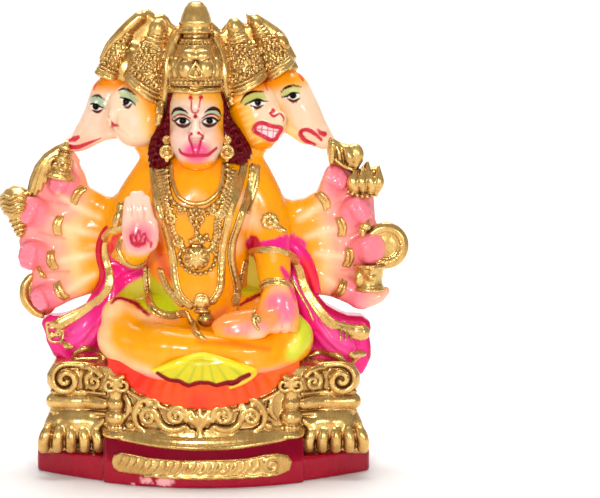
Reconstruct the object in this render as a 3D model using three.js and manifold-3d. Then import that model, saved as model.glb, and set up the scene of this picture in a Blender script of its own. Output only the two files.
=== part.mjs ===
// Five-faced seated Hanuman on a lion-footed throne: one hand-painted plaster casting.
// Millimetres, +Z up, the figure faces -Y, the origin is under the middle of the plinth.

import * as THREE from 'three';
import { mergeVertices } from 'three/addons/utils/BufferGeometryUtils.js';
import Module from 'manifold-3d';

// Driving dimensions of the casting
const FIGURE_HEIGHT = 190;      // from the seat to the tip of the middle crown
const BACK = 36;                // the flat back of plinth and throne, behind the figure's axis
const PLINTH_LENGTH = 178;
const PLINTH_DEPTH = 86;        // from the flat back to the middle of the bowed front
const PLINTH_BOW = 38;          // how far the front falls back at its two ends
const STEP_HEIGHT = 13;         // the low end sections
const BLOCK_LENGTH = 105;       // the high middle section
const BLOCK_HEIGHT = 24;
const BLOCK_PROUD = 3;          // how far the middle section stands in front of the ends
const BLOCK_BEVEL = 6;
const PLAQUE_LENGTH = 94;
const PLAQUE_HEIGHT = 10.5;
const PLAQUE_FOOT = 5.5;        // clear height under the plaque
const PLAQUE_RELIEF = 1.8;
const THRONE_RISE = 36;         // from the middle section to the seat
const THRONE_LENGTH = 160;
const LEG_LENGTH = 28;          // each lion leg, along the throne
const APRON_SETBACK = 7;        // apron behind the front of the middle section
const CLOTH_LENGTH = 101;       // the seat cloth over the apron
const CLOTH_DROP = 19;          // how far it hangs below the seat
const CLOTH_THICKNESS = 9;
const SLIVER = 0.3;             // edges shorter than this are closed up after joining

// The figure keeps its pose and proportions as shares of its height: its own coordinates
// are 190 to that height and are measured from the seat.
const SHARES = 190;
const share = FIGURE_HEIGHT / SHARES;
const seat = BLOCK_HEIGHT + THRONE_RISE;

const FRONT = new THREE.Vector3(0, -1, 0);
const UP = new THREE.Vector3(0, 0, 1);
const { clamp, lerp, degToRad } = THREE.MathUtils;

const wasm = await Module();
wasm.setup();

// A closed geometry becomes a solid: shared corners merged, faces of no area dropped.
function solid(geometry) {
  const bare = geometry.clone();
  bare.deleteAttribute('normal');
  bare.deleteAttribute('uv');
  const merged = mergeVertices(bare, 1e-4);
  const corners = merged.index.array;
  const faces = [];
  for (let i = 0; i < corners.length; i += 3) {
    const [a, b, c] = corners.slice(i, i + 3);
    if (a !== b && b !== c && c !== a) faces.push(a, b, c);
  }
  return new wasm.Manifold(new wasm.Mesh({
    numProp: 3,
    vertProperties: new Float32Array(merged.attributes.position.array),
    triVerts: new Uint32Array(faces),
  }));
}

const join = (solids) => solids.reduce((whole, piece) => whole.add(piece));

// A rounded limb through stations [x, y, z, radius]. depth flattens it front to back, round
// is the number of rows in each end, and flute draws every second row of corners in towards
// the last station, which parts a hand or paw into fingers.
function limb(stations, { sides = 7, depth = 1, cap = 0.7, round = 1, flute = 0 } = {}) {
  const points = stations.map(([x, y, z]) => new THREE.Vector3(x, y, z));
  const line = new THREE.CatmullRomCurve3(points);
  const chord = points.at(-1).clone().sub(points[0]).normalize();
  const facing = Math.abs(chord.dot(FRONT)) > 0.8 ? UP : FRONT;
  const shape = new THREE.CapsuleGeometry(1, 1, round, sides, stations.length - 1);
  const place = shape.attributes.position;
  for (let i = 0; i < place.count; i++) {
    const corner = i % (sides + 1);
    const along = clamp(place.getY(i) + 0.5, 0, 1);
    const past = place.getY(i) + 0.5 - along;
    const step = along * (stations.length - 1);
    const from = Math.min(Math.floor(step), stations.length - 2);
    const full = lerp(stations[from][3], stations[from + 1][3], step - from);
    const radius = corner % 2 ? full * (1 - flute * along * along) : full;
    const tangent = line.getTangent(along);
    const side = tangent.clone().cross(facing).normalize();
    const out = side.clone().cross(tangent);
    const point = line.getPoint(along)
      .addScaledVector(tangent, past * full * cap)
      .addScaledVector(side, place.getX(i) * radius)
      .addScaledVector(out, place.getZ(i) * radius * depth);
    place.setXYZ(i, point.x, point.y, point.z);
  }
  return solid(shape);
}

// An egg-shaped lump: centre and three half sizes.
function lump([x, y, z], [rx, ry, rz], sides = 8, rings = 5) {
  return solid(new THREE.SphereGeometry(1, sides, rings)
    .rotateX(Math.PI / 2).scale(rx, ry, rz).translate(x, y, z));
}

// A turned form from a profile of [radius, height], leaning and nodding about its foot.
function turned(profile, [x, y, z], { sides = 8, lean = 0, nod = 0, size = 1 } = {}) {
  const points = profile.map(([radius, height]) => new THREE.Vector2(radius, height));
  return solid(new THREE.LatheGeometry(points, sides)
    .rotateX(Math.PI / 2).scale(size, size, size)
    .rotateX(degToRad(nod)).rotateY(degToRad(lean)).translate(x, y, z));
}

// An upright slab: an outline of [x, z] between two depths.
function slab(outline, back, front) {
  const shape = new THREE.Shape(outline.map(([x, z]) => new THREE.Vector2(x, z)));
  return new THREE.ExtrudeGeometry(shape, { depth: back - front, bevelEnabled: false, steps: 1 })
    .rotateX(Math.PI / 2).translate(0, back, 0);
}

// A cord through points [x, y, z].
function cord(points, radius, steps = 2 * (points.length - 1), sides = 3) {
  const path = new THREE.CatmullRomCurve3(points.map((p) => new THREE.Vector3(...p)));
  const section = new THREE.Shape(
    Array.from({ length: sides }, (_, i) => {
      const turn = (2 * Math.PI * i) / sides;
      return new THREE.Vector2(radius * Math.cos(turn), radius * Math.sin(turn));
    }),
  );
  return solid(new THREE.ExtrudeGeometry(section, { steps, extrudePath: path, bevelEnabled: false }));
}

// A ring round an axis that points along [x, y, z].
function ring(centre, axis, radius, tube, sides = 8, across = 3) {
  const turn = new THREE.Quaternion()
    .setFromUnitVectors(UP, new THREE.Vector3(...axis).normalize());
  return solid(new THREE.TorusGeometry(radius, tube, across, sides)
    .applyQuaternion(turn).translate(...centre));
}

// Points evenly spread from one value to another.
const spread = (from, to, count) =>
  Array.from({ length: count }, (_, i) => lerp(from, to, count > 1 ? i / (count - 1) : 0.5));

// The bowed front of the plinth at x; everything on it follows the same bow.
const bow = (x) => BACK - PLINTH_DEPTH + PLINTH_BOW * (2 * x / PLINTH_LENGTH) ** 2;

// A board with the plinth's bowed front, drawn back by setback, and its top front edge
// bevelled.
function bowedBoard(length, setback, foot, top, bevel = 0, steps = 8) {
  const front = spread(-length / 2, length / 2, steps + 1)
    .map((x) => new THREE.Vector2(x, bow(x) + setback));
  const outline = [...front, new THREE.Vector2(length / 2, BACK),
    new THREE.Vector2(-length / 2, BACK)];
  const board = new THREE.ExtrudeGeometry(new THREE.Shape(outline),
    { depth: top - foot, bevelEnabled: false, steps: bevel ? 2 : 1 }).translate(0, 0, foot);
  const place = board.attributes.position;
  for (let i = 0; bevel && i < place.count; i++) {
    const frontal = place.getY(i) < BACK - 1e-3;
    if (frontal && place.getZ(i) > top - 1e-3) place.setY(i, place.getY(i) + bevel);
  }
  return solid(board);
}

// Plinth: low end sections, a high middle section and the inscribed plaque, whose
// writing is only shallow strokes.
function plinth() {
  const face = -BLOCK_PROUD;
  const strokeCount = 4;
  const strokeHeight = PLAQUE_HEIGHT * 0.5;
  const plaque = bowedBoard(PLAQUE_LENGTH, face - PLAQUE_RELIEF, PLAQUE_FOOT,
    PLAQUE_FOOT + PLAQUE_HEIGHT);
  const strokes = spread(-PLAQUE_LENGTH * 0.42, PLAQUE_LENGTH * 0.42, strokeCount).map((x, i) => {
    const tilt = i % 2 ? 3 : -3;
    const y = bow(x) + face - PLAQUE_RELIEF;
    const middle = PLAQUE_FOOT + PLAQUE_HEIGHT / 2;
    return limb([[x - tilt, y, middle - strokeHeight / 2, 0.9],
      [x + tilt, y, middle + strokeHeight / 2, 0.9]], { sides: 4 });
  });
  return [
    bowedBoard(PLINTH_LENGTH, 0, 0, STEP_HEIGHT, 0, 6),
    bowedBoard(BLOCK_LENGTH, face, 0, BLOCK_HEIGHT, BLOCK_BEVEL),
    plaque,
    ...strokes,
  ];
}

// One end of the throne: scrolled shoulder, banded shank and a lion's paw with four toes.
function lionLeg(hand) {
  const outer = THRONE_LENGTH / 2;
  const inner = outer - LEG_LENGTH;
  const middle = (outer + inner) / 2;
  const face = bow(middle) + APRON_SETBACK;
  const x = (place) => hand * place;
  const outline = [
    [inner, STEP_HEIGHT - 2], [outer + 4, STEP_HEIGHT - 2], [outer + 7, STEP_HEIGHT + 7],
    [outer + 4, BLOCK_HEIGHT + 5], [outer, BLOCK_HEIGHT + 13], [outer, BLOCK_HEIGHT + 20],
    [outer + 3, BLOCK_HEIGHT + 25], [outer + 3, seat - 6], [outer - 3, seat], [inner, seat],
  ].map(([across, height]) => [x(across), height]);
  if (hand < 0) outline.reverse();
  const scroll = [x(outer - 7), face, seat - 8];
  const toes = spread(inner + 4, outer + 4, 4).map((across) => limb([
    [x(across), face - 1, BLOCK_HEIGHT + 3, 3.2],
    [x(across), face - 2.4, STEP_HEIGHT + 3.6, 4.6],
  ], { sides: 5, cap: 0.9 }));
  return [
    solid(slab(outline, BACK, face)),
    ring(scroll, [0, 1, 0], 7, 2.6, 9),
    lump(scroll, [3.6, 3.4, 3.6], 6, 4),
    limb([[x(inner + 4), face - 1, seat - 5, 3.5], [x(outer - 8), face - 1, seat - 2, 3.5]],
      { sides: 6 }),
    limb([[x(inner + 2), face - 1, BLOCK_HEIGHT + 16, 4.4],
      [x(outer - 2), face, BLOCK_HEIGHT + 16, 4.4]], { sides: 6 }),
    lump([x(middle), face, BLOCK_HEIGHT + 2], [LEG_LENGTH * 0.56, 7, 9]),
    ...toes,
  ];
}

// The apron between the legs: curled posts at its ends, scrolls and a palmette.
function apron() {
  const face = APRON_SETBACK;
  const postProfile = [[0, 0], [6.5, 0], [3.8, 6], [5.8, 12], [3.6, 18], [6, 25], [5.2, 30],
    [0, 33]];
  const postReach = BLOCK_LENGTH / 2 - 7;
  const scrolls = [[12.5, 11], [29, 10]];
  return [
    bowedBoard(THRONE_LENGTH - LEG_LENGTH, face, BLOCK_HEIGHT - 2, seat, 0, 6),
    ...[-1, 1].flatMap((hand) => [
      turned(postProfile, [hand * postReach, bow(postReach) + face, BLOCK_HEIGHT - 1], { sides: 6 }),
      ...scrolls.flatMap(([across, height]) => {
        const centre = [hand * across - 2, bow(across) + face, BLOCK_HEIGHT + height];
        return [ring(centre, [0, 1, 0], 5.2, 1.9, 7), lump(centre, [2.2, 2.6, 2.2], 5, 3)];
      }),
    ]),
    ...spread(-50, 50, 3).map((angle) => {
      const tip = 15 - Math.abs(angle) * 0.08;
      const across = tip * Math.sin(degToRad(angle));
      return limb([[-2, bow(0) + face, BLOCK_HEIGHT + 3, 2],
        [across - 2, bow(0) + face, BLOCK_HEIGHT + 3 + tip * Math.cos(degToRad(angle)), 2.8]],
      { sides: 5 });
    }),
  ];
}

// The cloth over the front of the seat, with the pleated end of the dhoti fanned on it.
function seatCloth() {
  const half = CLOTH_LENGTH / 2;
  const hang = (x) => seat - CLOTH_DROP * (1 - (x / half) ** 2) ** 0.8;
  const front = bow(0) + APRON_SETBACK - 3;
  const bulge = (x) => front + PLINTH_BOW * 0.4 * (x / half) ** 2;
  const edge = spread(-half, half, 11).map((x) => [x, hang(x)]);
  const cloth = slab([...edge, [half, seat + 5], [-half, seat + 5]],
    front + CLOTH_THICKNESS, front);
  const place = cloth.attributes.position;
  for (let i = 0; i < place.count; i++) {
    place.setY(i, place.getY(i) + bulge(place.getX(i)) - front);
  }
  const pleats = spread(-1, 1, 6).map((turn) => {
    const x = 26 * Math.sin(turn * 1.3);
    const z = seat + 6 - 13.5 * Math.cos(turn * 1.2) - 1;
    return limb([[x * 0.12, front, seat + 10, 1.8], [x, bulge(x) - 0.6, z, 4.2]],
      { sides: 4, cap: 0.3 });
  });
  return [solid(cloth), ...pleats];
}

// Throne and plinth
const stand = [...plinth(), ...lionLeg(-1), ...lionLeg(1), ...apron(), ...seatCloth()];

// The torso's stations, also used to lay the jewellery on the chest
const TORSO = [[-1, 2, 14, 27], [-2, 1, 30, 25], [-2, 0, 50, 24.5], [-2, 0, 68, 28],
  [-3, 0, 84, 31], [-3, 3, 98, 23]];
const TORSO_DEPTH = 0.86;

// The front of the torso at x and z
function chest(x, z) {
  const above = clamp(TORSO.findIndex((station) => station[2] >= z), 1, TORSO.length - 1);
  const [low, high] = [TORSO[above - 1], TORSO[above]];
  const blend = clamp((z - low[2]) / (high[2] - low[2]), 0, 1);
  const [middle, axis, , radius] = low.map((value, i) => lerp(value, high[i], blend));
  const across = clamp((x - middle) / radius, -0.92, 0.92);
  return axis - radius * TORSO_DEPTH * Math.sqrt(1 - across * across);
}

// Trunk, hips, folded legs and the upturned foot
function body() {
  return [
    limb(TORSO, { sides: 9, depth: TORSO_DEPTH }),
    limb([[-30, 0, 15, 18], [-1, 2, 16, 24], [30, 0, 15, 18]]),
    limb([[-22, -6, 20, 16], [-42, -18, 17, 16], [-51, -24, 13, 14]], { round: 2 }),
    limb([[-50, -26, 11, 13.5], [-28, -34, 11, 13], [-2, -38, 11, 10.5], [25, -35, 9, 9.5],
      [43, -27, 6.5, 8.5]], { round: 2 }),
    limb([[18, -6, 24, 16], [36, -16, 22, 15], [50, -22, 12, 13]], { round: 2 }),
    limb([[50, -24, 9, 11], [8, -30, 6, 9]], { sides: 6 }),
    limb([[33, -33, 24, 7], [20, -37, 24, 6.5], [8, -38, 24, 6]], { sides: 8, flute: 0.4 }),
  ];
}

// One fanned arm of the back row, with its forearm, bracelet and curled hand.
function fannedArm([rx, rz], [wx, wz], [hx, hz], size) {
  const depth = 3;
  const forearm = 0.55;
  const near = 0.88;
  return limb([
    [rx, depth, rz, 9.5],
    [lerp(rx, wx, forearm), depth, lerp(rz, wz, forearm), 10.6],
    [lerp(rx, wx, near), depth, lerp(rz, wz, near), 7.2],
    [wx, depth, wz, 8.8],
    [lerp(wx, hx, 0.3), depth - 1, lerp(wz, hz, 0.3), 6.4],
    [hx, depth - 4, hz, size],
  ], { sides: 8, flute: 0.25, depth: 0.85, cap: 0.5 });
}

// The eight arms behind, four on each side, fanned from below the shoulder
const LEFT_FAN = [
  [[-44, 72], [-66.5, 87.5], [-75, 94], 7.4],
  [[-42, 67], [-77, 71], [-92, 79], 8],
  [[-42, 62], [-80.5, 52.5], [-92, 55], 7.8],
  [[-42, 57], [-76, 36], [-86, 31], 8],
];
const RIGHT_FAN = [
  [[40, 70], [63.5, 84.5], [69, 96], 7.8],
  [[40, 65], [73, 70.5], [82, 79], 8],
  [[40, 60], [77, 54], [90, 58], 8],
  [[40, 55], [72.5, 37.5], [84, 34], 7.6],
];

// What the fanned hands hold: bell, plume, conch and staff end on one side
function leftAttributes() {
  const bell = [[0, -4], [7, -4], [4.6, 3], [4.2, 8], [2, 11], [2.6, 14], [0, 17]];
  const conch = [[0, -1], [2, 3], [4.4, 8], [3.8, 10.5], [6.2, 14], [5.2, 17], [6.4, 21], [0, 28]];
  return [
    turned(bell, [-74, -4, 98], { sides: 7 }),
    limb([[-73, 0, 113, 2], [-82, 0, 109, 3], [-88.5, 0, 100, 3.6], [-91, 0, 89, 3.6]],
      { sides: 6 }),
    turned(conch, [-98, -2, 65], { sides: 6, lean: -7 }),
    limb([[-94, 0, 43, 2.4], [-97, 0, 34, 2.6], [-91, 0, 25, 2.4], [-84, 0, 23, 2]],
      { sides: 6 }),
  ];
}

// and club, lotus, wheel and cup on the other
function rightAttributes() {
  const lotus = [[0, -4], [7, 2], [7.4, 6], [4, 7], [0, 11]];
  const wheel = [[0, -2.6], [7, -2.6], [9.4, 0], [7, 2.6], [3.6, 1], [0, 3]];
  const cup = [[0, -6], [6.6, -5], [5.4, 1], [7.2, 4], [7.4, 9], [0, 10]];
  return [
    limb([[66, -3, 119, 2.2], [71, -3, 111, 4.2], [73, -2, 100, 5]], { sides: 6 }),
    limb([[81, -2, 114, 4], [81, -2, 103, 5]], { sides: 6 }),
    turned(lotus, [83, -2, 84.5], { lean: 30 }),
    turned(wheel, [99, -2, 60], { nod: 90, sides: 9 }),
    turned(cup, [88, -3, 39], { sides: 7 }),
  ];
}

// The raised hand on one side and the hand laid on the knee on the other. An arm's stations
// swell where it wears its armlet.
function frontArms() {
  const palm = [-32.5, -43, 72];
  const fingertips = [[-38.5, 90], [-34, 93.5], [-29, 92], [-25.3, 87.5]];
  return [
    limb([[-31, -1, 100, 11], [-38, -3, 88, 13], [-41, -4, 83, 12.6], [-43, -6, 79, 14.2],
      [-44, -7, 75, 12], [-46, -13, 57, 11]]),
    limb([[-46, -14, 56, 10.5], [-39, -29, 58, 10], [-36, -34, 60, 9.6], [-33, -38, 63, 7]]),
    limb([[-33, -39, 65, 7], [...palm, 9], [-32, -43, 80, 7.6]], { depth: 0.5 }),
    ...fingertips.map(([x, z], i) => limb([[-37 + 3.6 * i, palm[1] - 0.5, 79, 2.7],
      [x, palm[1] + 1, z, 2]], { sides: 5 })),
    limb([[-26, palm[1], 68, 3], [-22.5, palm[1] - 1, 76, 2.4]], { sides: 5 }),
    limb([[28, -1, 100, 11.5], [34, -3, 88, 13], [35.5, -4, 82, 12.4], [37, -6, 77, 14],
      [38, -7, 73, 11.6], [40.5, -14, 58, 10.5]]),
    limb([[41, -15, 57, 10], [39, -26, 49, 9.6], [39.5, -30, 45.5, 10], [40, -33, 42, 7.6]]),
    limb([[40, -35, 40, 7.5], [40, -40, 32, 9], [40, -42, 20, 8]], { sides: 8, depth: 0.6, flute: 0.35 }),
    lump([36, -18, 74], [4.6, 2.6, 5], 6, 3),
    lump([-44, -19, 81], [4, 2.4, 4.6], 6, 3),
  ];
}

// A tall helmet crown, from its band (radius 1, height 0) to the knob on its tip
const CROWN = [[0, -0.4], [1, -0.3], [1.08, 0.15], [0.97, 0.5], [0.93, 1.3], [0.5, 2.1],
  [0.64, 2.4], [0.48, 2.7], [0.56, 3.1], [0, 3.6]];

function crown(place, size, lean, nod = 0) {
  return turned(CROWN, place, { sides: 7, size, lean, nod });
}

// The middle head with its muzzle, brow, eyes, locks, earrings and tall crown
function middleHead() {
  const x = -3.5;
  const crownProfile = [[0, -4], [15.6, -3], [16.4, 1], [14.8, 5], [14.6, 14], [13.4, 21],
    [7.8, 27], [8, 30.5], [9.4, 33], [9.2, 37], [8.2, 38.4], [9, 41.5], [6, 46.5], [0, 50]];
  return [
    limb([[x, -6, 94, 14], [x, -8, 112, 12]], { sides: 6 }),
    lump([x, -12, 125], [15.6, 16, 18.5], 9, 6),
    lump([x, -26, 114.5], [11.4, 12, 9], 7, 5),
    limb([[x - 10, -24, 131, 2.4], [x + 10, -24, 131, 2.4]], { sides: 4 }),
    limb([[x, -27, 129, 2], [x, -34, 120, 3]], { sides: 5 }),
    ...[-1, 1].flatMap((hand) => [
      lump([x + hand * 7, -25.4, 126.5], [3.4, 2, 2], 6, 3),
      limb([[x + hand * 15.5, -15, 118, 3], [x + hand * 15.5, -16.5, 111.5, 4]], { sides: 5 }),
      limb([[x + hand * 14, -6, 138, 6], [x + hand * 19, -5, 124, 8],
        [x + hand * 21, -6, 112, 8], [x + hand * 21, -7, 105, 5]], { sides: 6 }),
    ]),
    turned(crownProfile, [x - 0.5, -11, 140], { sides: 9 }),
    lump([x - 0.5, -24.6, 153], [4.6, 2.6, 6], 6, 4),
  ];
}

// The four side heads, two leaning out on each side under tilted crowns
function sideHeads() {
  const eagle = [
    limb([[-22, 2, 98, 13], [-31, -2, 114, 12]], { sides: 6 }),
    lump([-35, -6, 131], [13, 13, 15.5], 7, 5),
    lump([-38, -13, 122], [9, 8, 8.5], 6, 4),
    limb([[-43, -18, 129, 3.4], [-47, -22, 124.5, 2]], { sides: 5 }),
    crown([-32.5, -5, 145], 11.4, 14, 6),
  ];
  const boar = [
    limb([[-40, 4, 134, 11], [-50, 2, 140, 11.5], [-57, 0, 129, 8.6], [-65, -1, 119, 5.6],
      [-70, -2, 115.5, 3.4]]),
    crown([-50, 3, 149], 10, 29),
  ];
  const lion = [
    limb([[19, 2, 98, 14], [25, -2, 114, 12.5]], { sides: 6 }),
    lump([28, -6, 132], [14, 13.5, 16], 7, 5),
    lump([34, -15, 122.5], [9, 8.5, 8], 6, 4),
    lump([38.5, -20, 127], [4.4, 4, 3.4], 5, 3),
    crown([24, -5, 146.5], 11.6, -11, 6),
  ];
  const horse = [
    limb([[34, 4, 136, 11], [45, 2, 142, 12], [54, 0, 131, 8.8], [63, -1, 121, 6],
      [69, -2, 117.5, 4.2]]),
    crown([43.5, 3, 151], 10.4, -29),
  ];
  return [...eagle, ...boar, ...lion, ...horse];
}

// Necklaces, garland and the belt's hanging end, laid on the chest
function jewellery() {
  const proud = 0.6;
  const onChest = (points) => points.map(([x, z]) => [x, chest(x, z) - proud, z]);
  const knot = [1, -38, 29];
  return [
    cord(onChest([[-17, 103], [-12, 94], [-3.5, 88], [5, 93], [11, 103]]), 2),
    cord(onChest([[-22, 100], [-20, 80], [-14, 62], [-1, 49], [12, 62], [17, 82], [18, 100]]), 2.4),
    cord([...onChest([[-26, 100], [-24, 84], [-19, 66], [-14, 48]]), knot], 2.2),
    cord([...onChest([[24, 102], [24, 88], [19, 70], [16, 52]]), knot], 2.2),
    lump([-0.5, chest(0, 55) - 0.5, 56], [6.4, 2.6, 7], 6, 4),
    lump(knot, [6, 4, 5.4], 6, 4),
    limb([[0, -42, 25, 3], [2.5, -45, 17, 2]], { sides: 5 }),
  ];
}

// The shawl: a broad fold behind each elbow that flares over the end of the throne
function shawl() {
  const back = 12;
  const front = -6;
  const left = [[-40, 72], [-49, 70.5], [-54, 63], [-54.5, 50], [-56, 38], [-64, 29], [-72, 24.5],
    [-85, 21], [-87, 11], [-79, 2], [-66, -3], [-40, -3], [-26, 30], [-24, 55], [-34, 62]];
  const right = [[16, 72], [40, 72], [51, 58], [56, 46], [60, 36], [68, 26], [85, 21], [89, 12],
    [88, 2], [84, -9], [75, -5], [40, -3], [16, 40]];
  const trims = [
    [[-42, 73], [-51, 68], [-53, 56], [-52, 46], [-55, 36], [-66, 25], [-83, 18]],
    [[-83, 12], [-74, 5], [-62, 0], [-50, 0]],
    [[26, 60], [38, 62], [47, 55], [52, 42], [58, 30], [69, 21], [83, 12]],
    [[86, 8], [80, -4]],
  ];
  return [
    solid(slab(left, back, front)),
    solid(slab(right.reverse(), back, front)),
    limb([[-48, -4, 44, 5], [-52, -6, 26, 7], [-66, -7, 10, 8]], { sides: 5 }),
    limb([[48, -4, 44, 5], [56, -6, 26, 7], [74, -7, 6, 8]], { sides: 5 }),
    ...trims.map((trim) => cord(trim.map(([x, z]) => [x, front - 0.4, z]), 1.8,
      trim.length - 1)),
  ];
}

const figureSolid = join([
  ...body(), ...middleHead(), ...sideHeads(), ...frontArms(), ...jewellery(), ...shawl(),
  ...LEFT_FAN.map((arm) => fannedArm(...arm)), ...leftAttributes(),
  ...RIGHT_FAN.map((arm) => fannedArm(...arm)), ...rightAttributes(),
]).scale(share).translate([0, 0, seat]);

// Slivers that the joins leave are closed up.
const casting = join(stand).add(figureSolid).simplify(SLIVER);
const { vertProperties, triVerts } = casting.getMesh();
const geometry = new THREE.BufferGeometry();
geometry.setAttribute('position', new THREE.Float32BufferAttribute(vertProperties, 3));
geometry.setIndex([...triVerts]);
geometry.computeBoundingBox();
const { min, max } = geometry.boundingBox;
geometry.translate(-(min.x + max.x) / 2, -(min.y + max.y) / 2, -min.z);
geometry.computeVertexNormals();

const paint = new THREE.MeshStandardMaterial({ color: 0xe8921c, roughness: 0.28, metalness: 0.1 });
const casting3d = new THREE.Mesh(geometry, paint);
casting3d.name = 'hanuman_figure';

const group = new THREE.Group();
group.add(casting3d);

export default group;
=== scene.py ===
"""The five-faced seated Hanuman: a plaster casting in enamel colours and gold paint.

Forms are pressed together as signed distances on a grid of points, as a modeller presses
clay, and the surface is then drawn over them. Figure coordinates are millimetres: x to the
viewer's right, y away from the viewer, z up from the seat, or from the ground for the
throne and the plinth.
"""

import math

import bpy
import numpy as np
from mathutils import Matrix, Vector


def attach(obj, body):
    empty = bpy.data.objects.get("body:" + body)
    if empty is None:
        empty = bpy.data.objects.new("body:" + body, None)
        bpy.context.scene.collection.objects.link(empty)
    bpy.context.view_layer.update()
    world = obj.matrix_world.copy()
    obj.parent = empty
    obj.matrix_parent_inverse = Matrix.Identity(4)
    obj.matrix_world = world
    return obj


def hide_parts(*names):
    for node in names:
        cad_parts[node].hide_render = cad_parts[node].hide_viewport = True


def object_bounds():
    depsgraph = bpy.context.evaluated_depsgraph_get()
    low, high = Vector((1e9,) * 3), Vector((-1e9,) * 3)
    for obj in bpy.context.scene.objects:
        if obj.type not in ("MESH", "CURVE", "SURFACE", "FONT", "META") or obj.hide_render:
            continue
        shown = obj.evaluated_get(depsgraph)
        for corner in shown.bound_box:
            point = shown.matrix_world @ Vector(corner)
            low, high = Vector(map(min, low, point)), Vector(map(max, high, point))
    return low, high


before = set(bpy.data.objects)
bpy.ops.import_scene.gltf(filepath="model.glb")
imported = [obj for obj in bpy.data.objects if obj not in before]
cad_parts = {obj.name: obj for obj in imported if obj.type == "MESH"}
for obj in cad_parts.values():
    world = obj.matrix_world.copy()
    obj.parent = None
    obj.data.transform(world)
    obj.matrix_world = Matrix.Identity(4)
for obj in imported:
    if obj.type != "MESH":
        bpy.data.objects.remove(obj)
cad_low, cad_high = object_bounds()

# Scale and place of the casting, from the frame
NODE = "hanuman_figure"
DESIGN_HEIGHT = 250.0                              # the height that the sizes below belong to
MM = (cad_high.z - cad_low.z) / DESIGN_HEIGHT      # one of their millimetres, in metres
BACK = 36.0                                        # flat back of throne and plinth
SEAT = 60.0                                        # height of the seat above the ground
corners = np.array([v.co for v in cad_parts[NODE].data.vertices])
foot = corners[corners[:, 2] < cad_low.z + MM]
SHIFT = np.array([(foot[:, 0].min() + foot[:, 0].max()) / 2, cad_high.y - BACK * MM, cad_low.z])

PLINTH_LENGTH = 178.0
PLINTH_DEPTH = 86.0
PLINTH_BOW = 38.0

FAR = 6.0                                          # distances beyond this don't matter
NOWHERE = 1000.0                                   # a depth or a gap behind everything else
TINY = 1e-9                                        # keeps a divisor from being nought
ORANGE = (255, 170, 0)
DEEP_ORANGE = (255, 122, 4)
PEACH_HIGHLIGHT = (255, 214, 172)
PINK = (252, 128, 150)
BLACK = (14, 8, 6)
CRIMSON = (190, 8, 50)
BRUSH_EDGE = 0.25                                  # half the width of a stroke's soft edge
HOLLOW_REACH = 2.2                                 # how far from the surface hollows are felt, for their painted shade


# Clay

def smooth_min(a, b, blend):
    if blend <= 0:
        return np.minimum(a, b)
    near = np.maximum(blend - np.abs(a - b), 0) / blend
    return np.minimum(a, b) - near * near * blend * 0.25


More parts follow.
